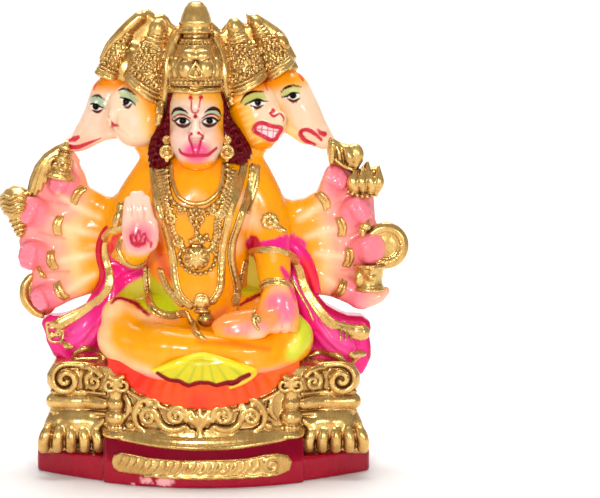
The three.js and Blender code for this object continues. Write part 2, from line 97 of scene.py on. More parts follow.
class Clay:
    """A block of signed distances that forms are pressed onto or cut out of."""

    def __init__(self, low, high, grain):
        self.grain = grain
        self.low = np.array(low, float)
        self.count = np.ceil((np.array(high, float) - self.low) / grain).astype(int) + 1
        self.field = np.full(self.count, FAR, np.float32)

    def window(self, low, high, margin):
        first = np.floor((np.asarray(low) - margin - self.low) / self.grain)
        last = np.ceil((np.asarray(high) + margin - self.low) / self.grain) + 1
        first = np.clip(first, 0, self.count).astype(int)
        last = np.clip(last, first, self.count).astype(int)
        axes = [
            (self.low[i] + self.grain * np.arange(first[i], last[i])).astype(np.float32)
            for i in range(3)
        ]
        return first, last, np.meshgrid(*axes, indexing="ij", sparse=True)

    def gathered(self, forms, margin):
        """The forms as one block of distances, hard against each other."""
        low = np.min([form[0] for form in forms], axis=0)
        high = np.max([form[1] for form in forms], axis=0)
        start, end, _ = self.window(low, high, margin)
        block = np.full(end - start, FAR, np.float32)
        for form_low, form_high, distance in forms:
            first, last, (x, y, z) = self.window(form_low, form_high, margin)
            if (last <= first).any():
                continue
            part = tuple(slice(a, b) for a, b in zip(first - start, last - start))
            block[part] = np.minimum(block[part], distance(x, y, z))
        return tuple(slice(a, b) for a, b in zip(start, end)), block

    def press(self, forms, blend=0.0):
        where, block = self.gathered(forms, blend + 2 * self.grain)
        self.field[where] = smooth_min(self.field[where], block, blend)
        return self

    def cut(self, forms, blend=0.0):
        where, block = self.gathered(forms, blend + 2 * self.grain)
        self.field[where] = -smooth_min(-self.field[where], block, blend)
        return self

    def at(self, points):
        """Distances at points, between the grid's own."""
        place = (points - self.low) / self.grain
        place = np.clip(place, 0, self.count - 1.001)
        base = place.astype(int)
        share = place - base
        total = np.zeros(len(points))
        for dx in (0, 1):
            for dy in (0, 1):
                for dz in (0, 1):
                    weight = (
                        np.abs(1 - dx - share[:, 0])
                        * np.abs(1 - dy - share[:, 1])
                        * np.abs(1 - dz - share[:, 2])
                    )
                    value = self.field[base[:, 0] + dx, base[:, 1] + dy, base[:, 2] + dz]
                    total += weight * value
        return total

    def surface(self):
        """Corners and four-sided faces of the surface, one corner in each cell it crosses."""
        inside = self.field < 0
        inside[[0, -1]] = inside[:, [0, -1]] = inside[:, :, [0, -1]] = False
        field = np.where(inside, self.field, np.maximum(self.field, 1e-4))
        ends = (slice(None, -1), slice(1, None))
        filled = sum(
            inside[ends[a], ends[b], ends[c]].astype(np.int8)
            for a in (0, 1) for b in (0, 1) for c in (0, 1)
        )
        cells = np.argwhere((filled > 0) & (filled < 8))
        number = np.full(filled.shape, -1, np.int32)
        number[tuple(cells.T)] = np.arange(len(cells))
        total = np.zeros((len(cells), 3))
        crossings = np.zeros(len(cells))
        for axis in range(3):
            step = np.eye(3, dtype=int)[axis]
            others = [i for i in range(3) if i != axis]
            for u in (0, 1):
                for v in (0, 1):
                    offset = np.zeros(3, int)
                    offset[others[0]], offset[others[1]] = u, v
                    start = cells + offset
                    a = field[tuple(start.T)]
                    b = field[tuple((start + step).T)]
                    crossed = (a < 0) != (b < 0)
                    share = np.where(crossed, a / np.where(crossed, a - b, 1), 0)
                    point = offset + share[:, None] * step
                    total += point * crossed[:, None]
                    crossings += crossed
        places = self.low + self.grain * (cells + total / crossings[:, None])
        faces = []
        for axis in range(3):
            u, v = [i for i in range(3) if i != axis]
            head = [slice(None)] * 3
            tail = [slice(None)] * 3
            head[axis], tail[axis] = ends
            start, end = inside[tuple(head)], inside[tuple(tail)]
            for outward in (True, False):
                crossed = np.argwhere((start & ~end) if outward else (~start & end))
                back_u, back_v = np.zeros(3, int), np.zeros(3, int)
                back_u[u], back_v[v] = 1, 1
                quad = [crossed - back_u - back_v, crossed - back_v, crossed, crossed - back_u]
                quad = np.stack([number[tuple(c.T)] for c in quad], axis=1)
                faces.append(quad if outward == (axis != 1) else quad[:, ::-1])
        return places, np.concatenate(faces)


def turning(lean=0.0, nod=0.0):
    """Turns a form's own axes: lean tips its top to the right, nod tips it to the front."""
    a, b = math.radians(lean), math.radians(nod)
    about_y = np.array([[math.cos(a), 0, math.sin(a)], [0, 1, 0], [-math.sin(a), 0, math.cos(a)]])
    about_x = np.array([[1, 0, 0], [0, math.cos(b), -math.sin(b)], [0, math.sin(b), math.cos(b)]])
    return about_y @ about_x


def unturned(x, y, z, centre, turn):
    """Coordinates along the own axes of a form that stands at centre."""
    x, y, z = x - centre[0], y - centre[1], z - centre[2]
    return [turn[0, i] * x + turn[1, i] * y + turn[2, i] * z for i in range(3)]


def egg(centre, radii, lean=0.0):
    """An egg of one radius, or of three along its own axes."""
    centre = np.array(centre, float)
    rx, ry, rz = radii if np.ndim(radii) else (radii,) * 3
    turn = turning(lean)
    reach = np.abs(turn) @ np.array([rx, ry, rz])

    def distance(x, y, z):
        u, v, w = unturned(x, y, z, centre, turn)
        near = np.sqrt((u / rx) ** 2 + (v / ry) ** 2 + (w / rz) ** 2)
        steep = np.sqrt((u / rx**2) ** 2 + (v / ry**2) ** 2 + (w / rz**2) ** 2)
        return near * (near - 1) / np.maximum(steep, 1e-6)

    return centre - reach, centre + reach, distance


def bone(a, b, start, end, flat=1.0):
    """A capsule from a to b whose radius goes from start to end; flat thins it in depth."""
    a, b = np.array(a, float), np.array(b, float)
    squash = np.array([1, 1 / flat, 1])
    run = (b - a) * squash
    length = max(float(run @ run), TINY)
    radius = max(start, end)

    def distance(x, y, z):
        px, py, pz = x - a[0], (y - a[1]) / flat, z - a[2]
        along = np.clip((px * run[0] + py * run[1] + pz * run[2]) / length, 0, 1)
        gap = np.sqrt(
            (px - along * run[0]) ** 2 + (py - along * run[1]) ** 2 + (pz - along * run[2]) ** 2
        )
        return (gap - start - (end - start) * along) * math.sqrt(flat)

    return np.minimum(a, b) - radius, np.maximum(a, b) + radius, distance


def path(stations, steps=5):
    """Stations carried on a smooth curve through all of them."""
    stations = np.array(stations, float)
    line = np.vstack([2 * stations[0] - stations[1], stations, 2 * stations[-1] - stations[-2]])
    share = (np.arange(steps) / steps)[:, None]
    spans = [
        0.5 * (
            2 * p1 + (p2 - p0) * share + (2 * p0 - 5 * p1 + 4 * p2 - p3) * share**2
            + (3 * p1 - p0 - 3 * p2 + p3) * share**3
        )
        for p0, p1, p2, p3 in zip(line, line[1:], line[2:], line[3:])
    ]
    return np.vstack([*spans, stations[-1:]])


def limb(stations, steps=4, flat=1.0):
    """A rounded limb through stations [x, y, z, radius]."""
    line = path(stations, steps)
    return [bone(a[:3], b[:3], a[3], b[3], flat) for a, b in zip(line, line[1:])]


def spread(several, count):
    """One value, or several in turn, spread evenly over a count of places."""
    return np.interp(
        np.linspace(0, 1, count), np.linspace(0, 1, np.size(several)), np.ravel(several)
    )


def cord(points, radius, steps=4):
    """A cord through points [x, y, z], of one radius or of one that goes through several."""
    return limb(np.column_stack([points, spread(radius, len(points))]), steps)


def outline_distance(outline, u, v):
    """Signed distance in a plane to a closed outline."""
    outline = np.array(outline, float)
    nearest = np.full(np.broadcast(u, v).shape, np.inf)
    inside = np.zeros(nearest.shape, bool)
    for (au, av), (bu, bv) in zip(outline, np.roll(outline, -1, axis=0)):
        ru, rv = bu - au, bv - av
        along = np.clip(((u - au) * ru + (v - av) * rv) / max(ru * ru + rv * rv, TINY), 0, 1)
        gap = (u - au - along * ru) ** 2 + (v - av - along * rv) ** 2
        nearest = np.minimum(nearest, gap)
        spans = (av > v) != (bv > v)
        if bv != av:
            inside ^= spans & (u < (v - av) * ru / rv + au)
    return np.where(inside, -1, 1) * np.sqrt(nearest)


def edged(across, deep):
    """The distance to a slab from those to its outline and to its two faces."""
    outer = np.hypot(np.maximum(across, 0), np.maximum(deep, 0))
    return outer + np.minimum(np.maximum(across, deep), 0)


def slab(outline, low, high, rounding):
    """An outline of [x, z] between two depths."""
    outline = np.array(outline, float)
    middle, half = (low + high) / 2, (high - low) / 2

    def distance(x, y, z):
        across = outline_distance(outline, x, z) + rounding
        deep = np.abs(y - middle) - half + rounding
        return edged(across, deep) - rounding

    (au, av), (bu, bv) = outline.min(0), outline.max(0)
    return np.array([au, low, av]), np.array([bu, high, bv]), distance


def turned(profile, centre, lean=0.0, nod=0.0, size=1.0):
    """A turned form from a profile of [radius, height] that rises from its foot."""
    profile = np.array(profile, float) * size
    centre = np.array(centre, float)
    turn = turning(lean, nod)
    radius, (foot_z, top) = profile[:, 0].max(), (profile[0, 1], profile[-1, 1])
    box = np.array([[sx * radius, sy * radius, h] for sx in (-1, 1) for sy in (-1, 1)
                    for h in (foot_z, top)]) @ turn.T + centre

    def distance(x, y, z):
        u, v, w = unturned(x, y, z, centre, turn)
        r = np.hypot(u, v)
        nearest = np.full(r.shape, np.inf)
        for (ar, ah), (br, bh) in zip(profile, profile[1:]):
            run_r, run_h = br - ar, bh - ah
            length = max(run_r**2 + run_h**2, TINY)
            along = np.clip(((r - ar) * run_r + (w - ah) * run_h) / length, 0, 1)
            nearest = np.minimum(
                nearest, (r - ar - along * run_r) ** 2 + (w - ah - along * run_h) ** 2
            )
        wall = np.interp(w, profile[:, 1], profile[:, 0])
        inside = (r < wall) & (w > foot_z) & (w < top)
        return np.where(inside, -1, 1) * np.sqrt(nearest)

    return box.min(0), box.max(0), distance


def ring(centre, axis, radius, tube, squash=1.0):
    """A ring round an axis; squash is its height over its width."""
    centre, axis = np.array(centre, float), np.array(axis, float)
    axis = axis / np.linalg.norm(axis)
    reach = radius * np.sqrt(1 - axis**2) + tube

    def distance(x, y, z):
        x, y, z = x - centre[0], y - centre[1], z - centre[2]
        along = x * axis[0] + y * axis[1] + z * axis[2]
        across = np.sqrt(np.maximum(x * x + y * y + z * z - along**2, 0))
        return np.hypot(across - radius, along / squash) - tube

    return centre - reach, centre + reach, distance


def spiral(centre, radius, turns, start, hand=1, inner=0.12, count=26):
    """Points [u, v] of a scroll that winds in to its centre."""
    share = np.linspace(0, 1, count)
    angle = math.radians(start) + hand * share * turns * 2 * math.pi
    reach = radius * (1 - share * (1 - inner))
    return np.column_stack([centre[0] + reach * np.cos(angle), centre[1] + reach * np.sin(angle)])


def fronts(clays, x, z):
    """The depth at which a line of sight along y meets the clay, at each x and z."""
    x, z = np.atleast_1d(x).astype(float), np.atleast_1d(z).astype(float)
    best = np.full(x.shape, NOWHERE)
    for clay in clays:
        depths = clay.low[1] + clay.grain * np.arange(clay.count[1])
        u = np.clip((x - clay.low[0]) / clay.grain, 0, clay.count[0] - 1.001)
        w = np.clip((z - clay.low[2]) / clay.grain, 0, clay.count[2] - 1.001)
        i, k = u.astype(int), w.astype(int)
        fu, fw = (u - i)[:, None], (w - k)[:, None]
        column = (
            clay.field[i, :, k] * (1 - fu) * (1 - fw) + clay.field[i + 1, :, k] * fu * (1 - fw)
            + clay.field[i, :, k + 1] * (1 - fu) * fw + clay.field[i + 1, :, k + 1] * fu * fw
        )
        hit = column < 0
        first = np.maximum(hit.argmax(axis=1), 1)
        row = np.arange(len(x))
        a, b = column[row, first - 1], column[row, first]
        depth = depths[first - 1] + clay.grain * np.clip(a / np.where(a > b, a - b, 1), 0, 1)
        best = np.minimum(best, np.where(hit.any(axis=1), depth, NOWHERE))
    return best


def laid(clays, points, proud=0.0, steps=6, hop=NOWHERE):
    """Points [x, z] carried on a smooth line and laid on the front of the clay.

    It runs on where nothing is behind it, and behind what stands more than a hop before it.
    """
    line = path(points, steps)
    depth = fronts(clays, line[:, 0], line[:, 1])
    for i in range(len(depth)):
        if depth[i] >= NOWHERE:
            depth[i] = depth[i - 1] if i else depth[depth < NOWHERE][0]
        elif i and depth[i] < depth[i - 1] - hop:
            depth[i] = depth[i - 1]
    return np.column_stack([line[:, 0], depth - proud, line[:, 1]])


def evenly(line, spacing):
    """Points at even spacing along a line."""
    run = np.r_[0, np.cumsum(np.linalg.norm(np.diff(line, axis=0), axis=1))]
    count = max(int(run[-1] / spacing), 1)
    at = np.linspace(0, run[-1], count + 1)
    return np.column_stack([np.interp(at, run, line[:, i]) for i in range(line.shape[1])])


def beads(line, radius, spacing):
    return [egg(point, radius) for point in evenly(line, spacing)]


def wire(clay, under, points, proud, radius, blend, steps=6):
    """Presses a cord on along points [x, z], laid on what is under it."""
    clay.press(cord(laid(under, points, proud, steps), radius, 1), blend)


def bead_row(clay, under, points, proud, radius, spacing, blend, steps=6):
    """Presses beads on along points [x, z], laid on what is under them."""
    clay.press(beads(laid(under, points, proud, steps), radius, spacing), blend)


# Colours

def linear(colour):
    """A colour given as 0 to 255 in sRGB, as linear light."""
    share = np.array(colour, float) / 255
    return np.where(share <= 0.04045, share / 12.92, ((share + 0.055) / 1.055) ** 2.4)


def fade(value, start, end):
    """0 at start and 1 at end, smoothly."""
    share = np.clip((value - start) / (end - start), 0, 1)
    return share * share * (3 - 2 * share)


class Coat:
    """The colours of a piece's points, brushed on in figure coordinates."""

    def __init__(self, points, normals, colour):
        self.points, self.normals = points, normals
        self.colours = np.tile(linear(colour), (len(points), 1))

    def mix(self, colour, mask):
        mask = np.clip(mask, 0, 1)[:, None]
        self.colours = self.colours * (1 - mask) + linear(colour) * mask
        return self

    def spray(self, colour, centre, inner, outer, strength=1.0, squash=(1, 1, 1)):
        """A soft round patch about a centre [x, y, z]."""
        gap = np.linalg.norm((self.points - np.array(centre)) / squash, axis=1)
        return self.mix(colour, strength * fade(gap, outer, inner))

    def front(self):
        return fade(self.normals[:, 1], 0.15, -0.15)

    def stroke(self, colour, line, width, steps=8, soft=BRUSH_EDGE):
        """A brush stroke along points [x, z]; width may go through several values."""
        line = path(line, steps) if len(line) > 2 else np.array(line, float)
        widths = spread(width, len(line))
        place = self.points[:, [0, 2]]
        reach = widths.max() + 1
        near = np.flatnonzero(
            (place > line.min(0) - reach).all(axis=1) & (place < line.max(0) + reach).all(axis=1)
        )
        place = place[near]
        over = np.full(len(near), NOWHERE)
        for a, b, wa, wb in zip(line, line[1:], widths, widths[1:]):
            run = b - a
            along = np.clip((place - a) @ run / max(run @ run, TINY), 0, 1)
            gap = np.linalg.norm(place - a - along[:, None] * run, axis=1)
            over = np.minimum(over, gap - (wa + (wb - wa) * along) / 2)
        mask = np.zeros(len(self.points))
        mask[near] = fade(over, soft, -soft)
        return self.mix(colour, mask * self.front())

    def patch(self, colour, outline, soft=0.5, strength=1.0):
        """An area inside an outline of [x, z]."""
        outline = np.array(outline, float)
        place = self.points[:, [0, 2]]
        near = np.flatnonzero(
            (place > outline.min(0) - soft).all(axis=1) & (place < outline.max(0) + soft).all(axis=1)
        )
        mask = np.zeros(len(self.points))
        gap = outline_distance(outline, place[near, 0], place[near, 1])
        mask[near] = fade(gap, soft, -soft) * strength
        return self.mix(colour, mask * self.front())

    def dot(self, colour, centre, radius, squash=1.0):
        """A round spot about [x, z]."""
        gap = np.hypot(
            self.points[:, 0] - centre[0], (self.points[:, 2] - centre[1]) / squash
        )
        return self.mix(colour, fade(gap, radius + BRUSH_EDGE, radius - BRUSH_EDGE) * self.front())


# Materials

def node(tree, kind, **settings):
    made = tree.nodes.new(kind)
    for name, value in settings.items():
        if name.startswith("in_"):
            made.inputs[name[3:].replace("_", " ")].default_value = value
        else:
            setattr(made, name, value)
    return made


def surface_material(name):
    material = bpy.data.materials.new(name)
    material.use_nodes = True
    tree = material.node_tree
    shader = tree.nodes["Principled BSDF"]
    place = node(tree, "ShaderNodeTexCoord")
    return material, tree, shader, place.outputs["Object"]


def noise(tree, place, size_mm, detail=3.0, roughness=0.5, stretch=None):
    """A noise whose cells are size_mm across, in the frame's metres."""
    made = node(tree, "ShaderNodeTexNoise", in_Scale=1 / (size_mm * MM), in_Detail=detail,
                in_Roughness=roughness)
    if stretch is not None:
        mapping = node(tree, "ShaderNodeMapping", in_Scale=stretch)
        tree.links.new(place, mapping.inputs["Vector"])
        place = mapping.outputs["Vector"]
    tree.links.new(place, made.inputs["Vector"])
    return made.outputs["Fac"]


def ranged(tree, value, low, high, to_low, to_high):
    made = node(tree, "ShaderNodeMapRange", in_From_Min=low, in_From_Max=high,
                in_To_Min=to_low, in_To_Max=to_high)
    tree.links.new(value, made.inputs["Value"])
    return made.outputs["Result"]


def mixed(tree, factor, a, b, blend="MIX"):
    made = node(tree, "ShaderNodeMix", data_type="RGBA", blend_type=blend)
    for value, socket in ((factor, made.inputs[0]), (a, made.inputs[6]), (b, made.inputs[7])):
        if isinstance(value, bpy.types.NodeSocket):
            tree.links.new(value, socket)
        elif isinstance(value, (int, float)):
            socket.default_value = value
        else:
            socket.default_value = (*linear(value), 1)
    return made.outputs[2]


def bumped(tree, shader, heights):
    """Bumps from (height, distance in mm) pairs, one over the other."""
    normal = None
    for height, distance in heights:
        bump = node(tree, "ShaderNodeBump", in_Strength=1.0, in_Distance=distance * MM)
        tree.links.new(height, bump.inputs["Height"])
        if normal is not None:
            tree.links.new(normal, bump.inputs["Normal"])
        normal = bump.outputs["Normal"]
    tree.links.new(normal, shader.inputs["Normal"])


def enamel():
    """Glossy enamel over plaster: airbrushed colour, brush marks, painted shade in the hollows, pooled gloss
    and specks.
    """
    material, tree, shader, place = surface_material("enamel")
    colour = node(tree, "ShaderNodeAttribute", attribute_name="paint").outputs["Color"]
    hollow_shade = node(tree, "ShaderNodeAttribute", attribute_name="hollow_shade").outputs["Fac"]
    cloud = noise(tree, place, 14, 4)
    brush = noise(tree, place, 3.2, 3, stretch=(1, 1, 0.35))
    specks = noise(tree, place, 0.9, 1)
    tint = mixed(tree, ranged(tree, cloud, 0.35, 0.7, 0, 0.5), colour, (255, 238, 214), "MULTIPLY")
    tint = mixed(tree, ranged(tree, brush, 0.45, 0.75, 0, 0.14), tint, colour, "MULTIPLY")
    # painted shade: the colour darkened towards orange-brown in the hollows
    tint = mixed(tree, ranged(tree, hollow_shade, 0.6, 0.05, 0, 0.6), tint, (176, 62, 20), "MULTIPLY")
    tint = mixed(tree, ranged(tree, specks, 0.76, 0.8, 0, 0.4), tint, (120, 50, 20))
    tree.links.new(tint, shader.inputs["Base Color"])
    tree.links.new(ranged(tree, cloud, 0.3, 0.7, 0.16, 0.32), shader.inputs["Roughness"])
    grey = node(tree, "ShaderNodeRGBToBW")             # dark lines are painted last, and duller
    tree.links.new(tint, grey.inputs["Color"])
    tree.links.new(ranged(tree, grey.outputs["Val"], 0.01, 0.12, 0.02, 0.25), shader.inputs["Coat Weight"])
    tree.links.new(ranged(tree, grey.outputs["Val"], 0.01, 0.12, 0.05, 0.3),
                   shader.inputs["Specular IOR Level"])
    shader.inputs["Coat Roughness"].default_value = 0.07
    bumped(tree, shader, [(cloud, 0.35), (brush, 0.05), (noise(tree, place, 0.7, 2), 0.012)])
    return material


def gold_paint():
    """Metallic gold paint: painted shade makes it brown in the hollows and bright where open, pale specks are
    painted glints, and it is a little lumpy.
    """
    material, tree, shader, place = surface_material("gold_paint")
    hollow_shade = node(tree, "ShaderNodeAttribute", attribute_name="hollow_shade").outputs["Fac"]
    cloud = noise(tree, place, 9, 4)
    glint_specks = noise(tree, place, 0.6, 2, 0.7)
    brush = noise(tree, place, 2.4, 3, stretch=(1, 1, 0.4))
    gold = mixed(tree, ranged(tree, cloud, 0.35, 0.7, 0, 1), (232, 190, 110), (202, 152, 78))
    # painted glints: pale cream specks
    gold = mixed(tree, ranged(tree, glint_specks, 0.55, 0.8, 0, 0.5), gold, (255, 236, 180))
    # painted shade: brown in the hollows
    gold = mixed(tree, ranged(tree, hollow_shade, 0.85, 0.2, 0, 0.85), gold, (138, 88, 34))
    tree.links.new(gold, shader.inputs["Base Color"])
    shader.inputs["Metallic"].default_value = 0.78
    tree.links.new(ranged(tree, brush, 0.3, 0.75, 0.2, 0.34), shader.inputs["Roughness"])
    shader.inputs["Coat Weight"].default_value = 0.3
    shader.inputs["Coat Roughness"].default_value = 0.15
    bumped(tree, shader, [(cloud, 0.3), (brush, 0.09), (glint_specks, 0.025)])
    return material


# Pieces

def closed_mesh(name, places, faces):
    mesh = bpy.data.meshes.new(name)
    mesh.vertices.add(len(places))
    mesh.vertices.foreach_set("co", places.astype(np.float32).ravel())
    mesh.loops.add(faces.size)
    mesh.loops.foreach_set("vertex_index", faces.astype(np.int32).ravel())
    mesh.polygons.add(len(faces))
    mesh.polygons.foreach_set("loop_start", np.arange(0, faces.size, 4, dtype=np.int32))
    mesh.polygons.foreach_set("loop_total", np.full(len(faces), 4, np.int32))
    mesh.update(calc_edges=True)
    mesh.validate()
    return mesh


def values(items, name, width):
    out = np.empty(len(items) * width, np.float32)
    items.foreach_get(name, out)
    return out.reshape(-1, width).astype(float)


def ripple(places):
    """A slight wave that keeps corners on flat, painted parts while their faces are thinned."""
    height, length = 0.4, 2.5
    return height * np.sin(places[:, 0] / length) * np.sin(places[:, 2] / length)


def piece(name, clay, material, colouring=None, *, most, lift=SEAT):
    """Draws the clay's surface, thins it to the most triangles it may have, and paints it."""
    places, faces = clay.surface()
    if colouring:
        places[:, 1] += ripple(places)
    obj = bpy.data.objects.new(name, closed_mesh(name, places, faces))
    bpy.context.collection.objects.link(obj)
    if 2 * len(faces) > most:
        thin = obj.modifiers.new("thin", "DECIMATE")
        thin.ratio = most / (2 * len(faces))
        shown = obj.evaluated_get(bpy.context.evaluated_depsgraph_get())
        mesh = bpy.data.meshes.new_from_object(shown)
        obj.modifiers.clear()
        obj.data = mesh
    mesh = obj.data
    points = values(mesh.vertices, "co", 3)
    if colouring:
        points[:, 1] -= ripple(points)
        mesh.vertices.foreach_set("co", points.astype(np.float32).ravel())
        mesh.update()
    normals = values(mesh.vertex_normals, "vector", 3)
    # How open each point is: low in hollows, where the materials darken the colour as painted shade
    open_share = np.clip(clay.at(points + normals * HOLLOW_REACH) / HOLLOW_REACH, 0, 1)
    hollow_shade = mesh.attributes.new("hollow_shade", "FLOAT", "POINT")
    hollow_shade.data.foreach_set("value", open_share.astype(np.float32))
    if colouring:
        colours = np.column_stack([colouring(points, normals), np.ones(len(points))])
        paint = mesh.attributes.new("paint", "FLOAT_COLOR", "POINT")
        paint.data.foreach_set("color", colours.astype(np.float32).ravel())
    points[:, 2] += lift
    mesh.vertices.foreach_set("co", (points * MM + SHIFT).astype(np.float32).ravel())
    mesh.polygons.foreach_set("use_smooth", np.ones(len(mesh.polygons), bool))
    mesh.materials.clear()
    mesh.materials.append(material)
    mesh.update()
    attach(obj, "root")
    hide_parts(NODE)
    print(name, len(mesh.polygons), "faces")
    return obj


# Camera, light and floor

# The photo's frame in pixels, and the point in it where the camera's target shows
FRAME_WIDTH, FRAME_MIDDLE_X, FRAME_MIDDLE_Y = 600.0, 300.0, 249.0
TARGET_X, TARGET_Y = 203.5, 242.0
LENS_IN_PIXELS = 2056.0

# Lamps: name, place and target in metres, width in metres, power in watts
MIDDLE = (0, 0, 0.12)
LAMPS = (
    ("key", (-0.18, -1.5, 0.55), MIDDLE, 0.13, 9.6),
    ("fill", (0.7, -1.3, 0.35), MIDDLE, 0.2, 3.6),
    ("side", (-1.2, -0.5, 0.5), MIDDLE, 0.4, 1.0),
    ("top", (0.0, 0.0, 1.2), MIDDLE, 0.5, 2.0),
    ("backdrop", (0.0, 0.45, 1.5), (0, 1.5, 0.2), 1.2, 30.0),
)


def camera():
    """A long lens, aimed at the figure's middle from a little above it."""
    distance, elevation, height = 1.1, math.radians(7), 0.122
    target = Vector((SHIFT[0], SHIFT[1], height))
    back = Vector((0, -math.cos(elevation), math.sin(elevation)))
    data = bpy.data.cameras.new("camera")
    data.sensor_width = 36.0
    data.lens = data.sensor_width * LENS_IN_PIXELS / FRAME_WIDTH
    data.shift_x = (FRAME_MIDDLE_X - TARGET_X) / FRAME_WIDTH
    data.shift_y = (TARGET_Y - FRAME_MIDDLE_Y) / FRAME_WIDTH
    data.clip_start, data.clip_end = 0.05, 30
    view = bpy.data.objects.new("camera", data)
    view.location = target + back * distance
    view.rotation_mode = "QUATERNION"
    view.rotation_quaternion = (-back).to_track_quat("-Z", "Y")
    bpy.context.collection.objects.link(view)
    bpy.context.scene.camera = view


def light(name, place, target, width, power):
    """A round, white area lamp aimed at its target."""
    data = bpy.data.lights.new(name, "AREA")
    data.shape, data.size, data.energy = "DISK", width, power
    lamp = bpy.data.objects.new(name, data)
    lamp.location = place
    aim = Vector(target) - Vector(place)
    lamp.rotation_mode = "QUATERNION"
    lamp.rotation_quaternion = aim.to_track_quat("-Z", "Y")
    bpy.context.collection.objects.link(lamp)


def studio():
    """A pale floor that curves up behind, under plain soft lamps and an even white sky."""
    for lamp in LAMPS:
        light(*lamp)
    world = bpy.data.worlds.new("studio")
    world.use_nodes = True
    world.node_tree.nodes["Background"].inputs["Color"].default_value = (1, 1, 1, 1)
    world.node_tree.nodes["Background"].inputs["Strength"].default_value = 0.3
    scene = bpy.context.scene
    scene.world = world
    scene.view_settings.view_transform = "Standard"
    half, back, curve, rise, count = 2.5, 1.2, 0.6, 1.6, 16
    profile = [(-half, 0.0)] + [
        (back + curve * math.sin(a), curve * (1 - math.cos(a)))
        for a in np.linspace(0, math.pi / 2, count)
    ] + [(back + curve, rise)]
    places = [(x, y, z) for y, z in profile for x in (-half, half)]
    faces = [(2 * i, 2 * i + 1, 2 * i + 3, 2 * i + 2) for i in range(len(profile) - 1)]
    mesh = bpy.data.meshes.new("floor")
    mesh.from_pydata(places, [], faces)
    mesh.polygons.foreach_set("use_smooth", [True] * len(faces))
    floor = bpy.data.objects.new("floor", mesh)
    bpy.context.collection.objects.link(floor)
    material, tree, shader, place = surface_material("floor")
    shade = mixed(tree, noise(tree, place, 60, 3), (250, 249, 247), (244, 243, 241))
    tree.links.new(shade, shader.inputs["Base Color"])
    shader.inputs["Roughness"].default_value = 0.65
    mesh.materials.append(material)


# The body

TORSO = [[-2, 2, 14, 29], [-3, 1, 30, 27.5], [-3, 0, 50, 27.5], [-3, 0, 68, 29.5],
         [-3, 0, 84, 31], [-3, 3, 98, 23]]
HEAD_X = -3.5
LEFT_FAN = [
    [[-44, 72], [-66.5, 87.5], [-75, 94], 7.4],
    [[-42, 67], [-77, 71], [-92, 79], 8],
    [[-42, 62], [-80.5, 52.5], [-92, 55], 7.8],
    [[-42, 57], [-76, 36], [-86.6, 32], 6.4],
]
RIGHT_FAN = [
    [[40, 70], [63.5, 84.5], [69, 96], 7.8],
    [[40, 65], [73, 70.5], [82, 79], 8],
    [[40, 60], [77, 54], [87, 58], 7.6],
    [[40, 55], [72.5, 37.5], [84, 34], 7.6],
]
FANNED_ARMS = LEFT_FAN + RIGHT_FAN
LEFT_WING = [(-44, 84), (-48, 85.5), (-54, 87.5), (-61, 92.5), (-62.5, 97.5), (-66, 106), (-70, 112),
             (-80, 108), (-88, 98), (-93, 88), (-97, 80), (-97, 70), (-99, 62), (-97, 52), (-92, 47),
             (-93, 40), (-94, 32), (-90, 25), (-86, 23.5), (-80, 26), (-72.5, 30), (-66, 33),
             (-58.6, 36), (-50, 40), (-30, 46), (-30, 84)]
RIGHT_WING = [(42, 86), (48.5, 84.5), (57, 86.3), (61.5, 89.5), (63, 96), (66, 102), (70, 106), (78, 102),
              (84, 92), (91, 87), (92, 74), (95, 66), (95, 54), (90, 50), (88, 42), (97, 38), (98, 32),
              (92, 29), (85, 28), (74.5, 32.6), (69, 35), (60, 36), (50, 40), (28, 46), (28, 86)]
LEFT_GAP = [(-40, 104), (-45.5, 92), (-47.5, 85.6), (-52.3, 86.6), (-61, 91.4), (-62.6, 98), (-66, 104),
            (-50, 112)]
RIGHT_GAP = [(38, 104), (41.3, 92), (43.3, 85.6), (48.1, 84.4), (54.2, 85.6), (60.4, 89.2), (62.4, 95),
             (65, 103), (50, 112)]


def along(a, b, share):
    return np.array(a, float) * (1 - share) + np.array(b, float) * share


def fanned_arm(root, wrist, hand, size):
    """A forearm of the back row with its closed hand."""
    depth = 3.0
    spots = [(root, 9.5, 0), (along(root, wrist, 0.55), 10.6, 0), (along(root, wrist, 0.88), 7.4, 0),
             (wrist, 6.6, 0), (along(wrist, hand, 0.5), 6.8, -2), (hand, size * 0.9, -4)]
    return limb([[x, depth + near, z, r] for (x, z), r, near in spots], flat=0.85)


def curled_hand(wrist, hand, size):
    """Four soft fingers closed over what the hand holds, and a thumb."""
    hand, wrist = np.array(hand, float), np.array(wrist, float)
    out = (hand - wrist) / np.linalg.norm(hand - wrist)
    side = np.array([-out[1], out[0]])
    if side[1] < 0:
        side = -side
    thick = size * 0.34
    fingers = []
    for k in range(4):
        base = hand + side * size * 0.4 * (k - 1.5)
        knuckle = base + out * size * (0.52 - 0.09 * (k - 1.5) ** 2)
        tip = base - out * size * 0.1
        fingers += limb([[base[0], -3, base[1], thick], [knuckle[0], -4.8, knuckle[1], thick * 0.9],
                         [tip[0], -6.4, tip[1], thick * 0.8]], 2)
    thumb = hand + side * size * 0.7
    tip = hand + side * size * 0.6 + out * size * 0.45
    heel = hand - out * size * 0.5 + side * size * 0.5
    fingers += limb([[heel[0], -3, heel[1], thick * 1.2], [thumb[0], -5, thumb[1], thick],
                     [tip[0], -6.6, tip[1], thick * 0.8]], 2)
    return fingers


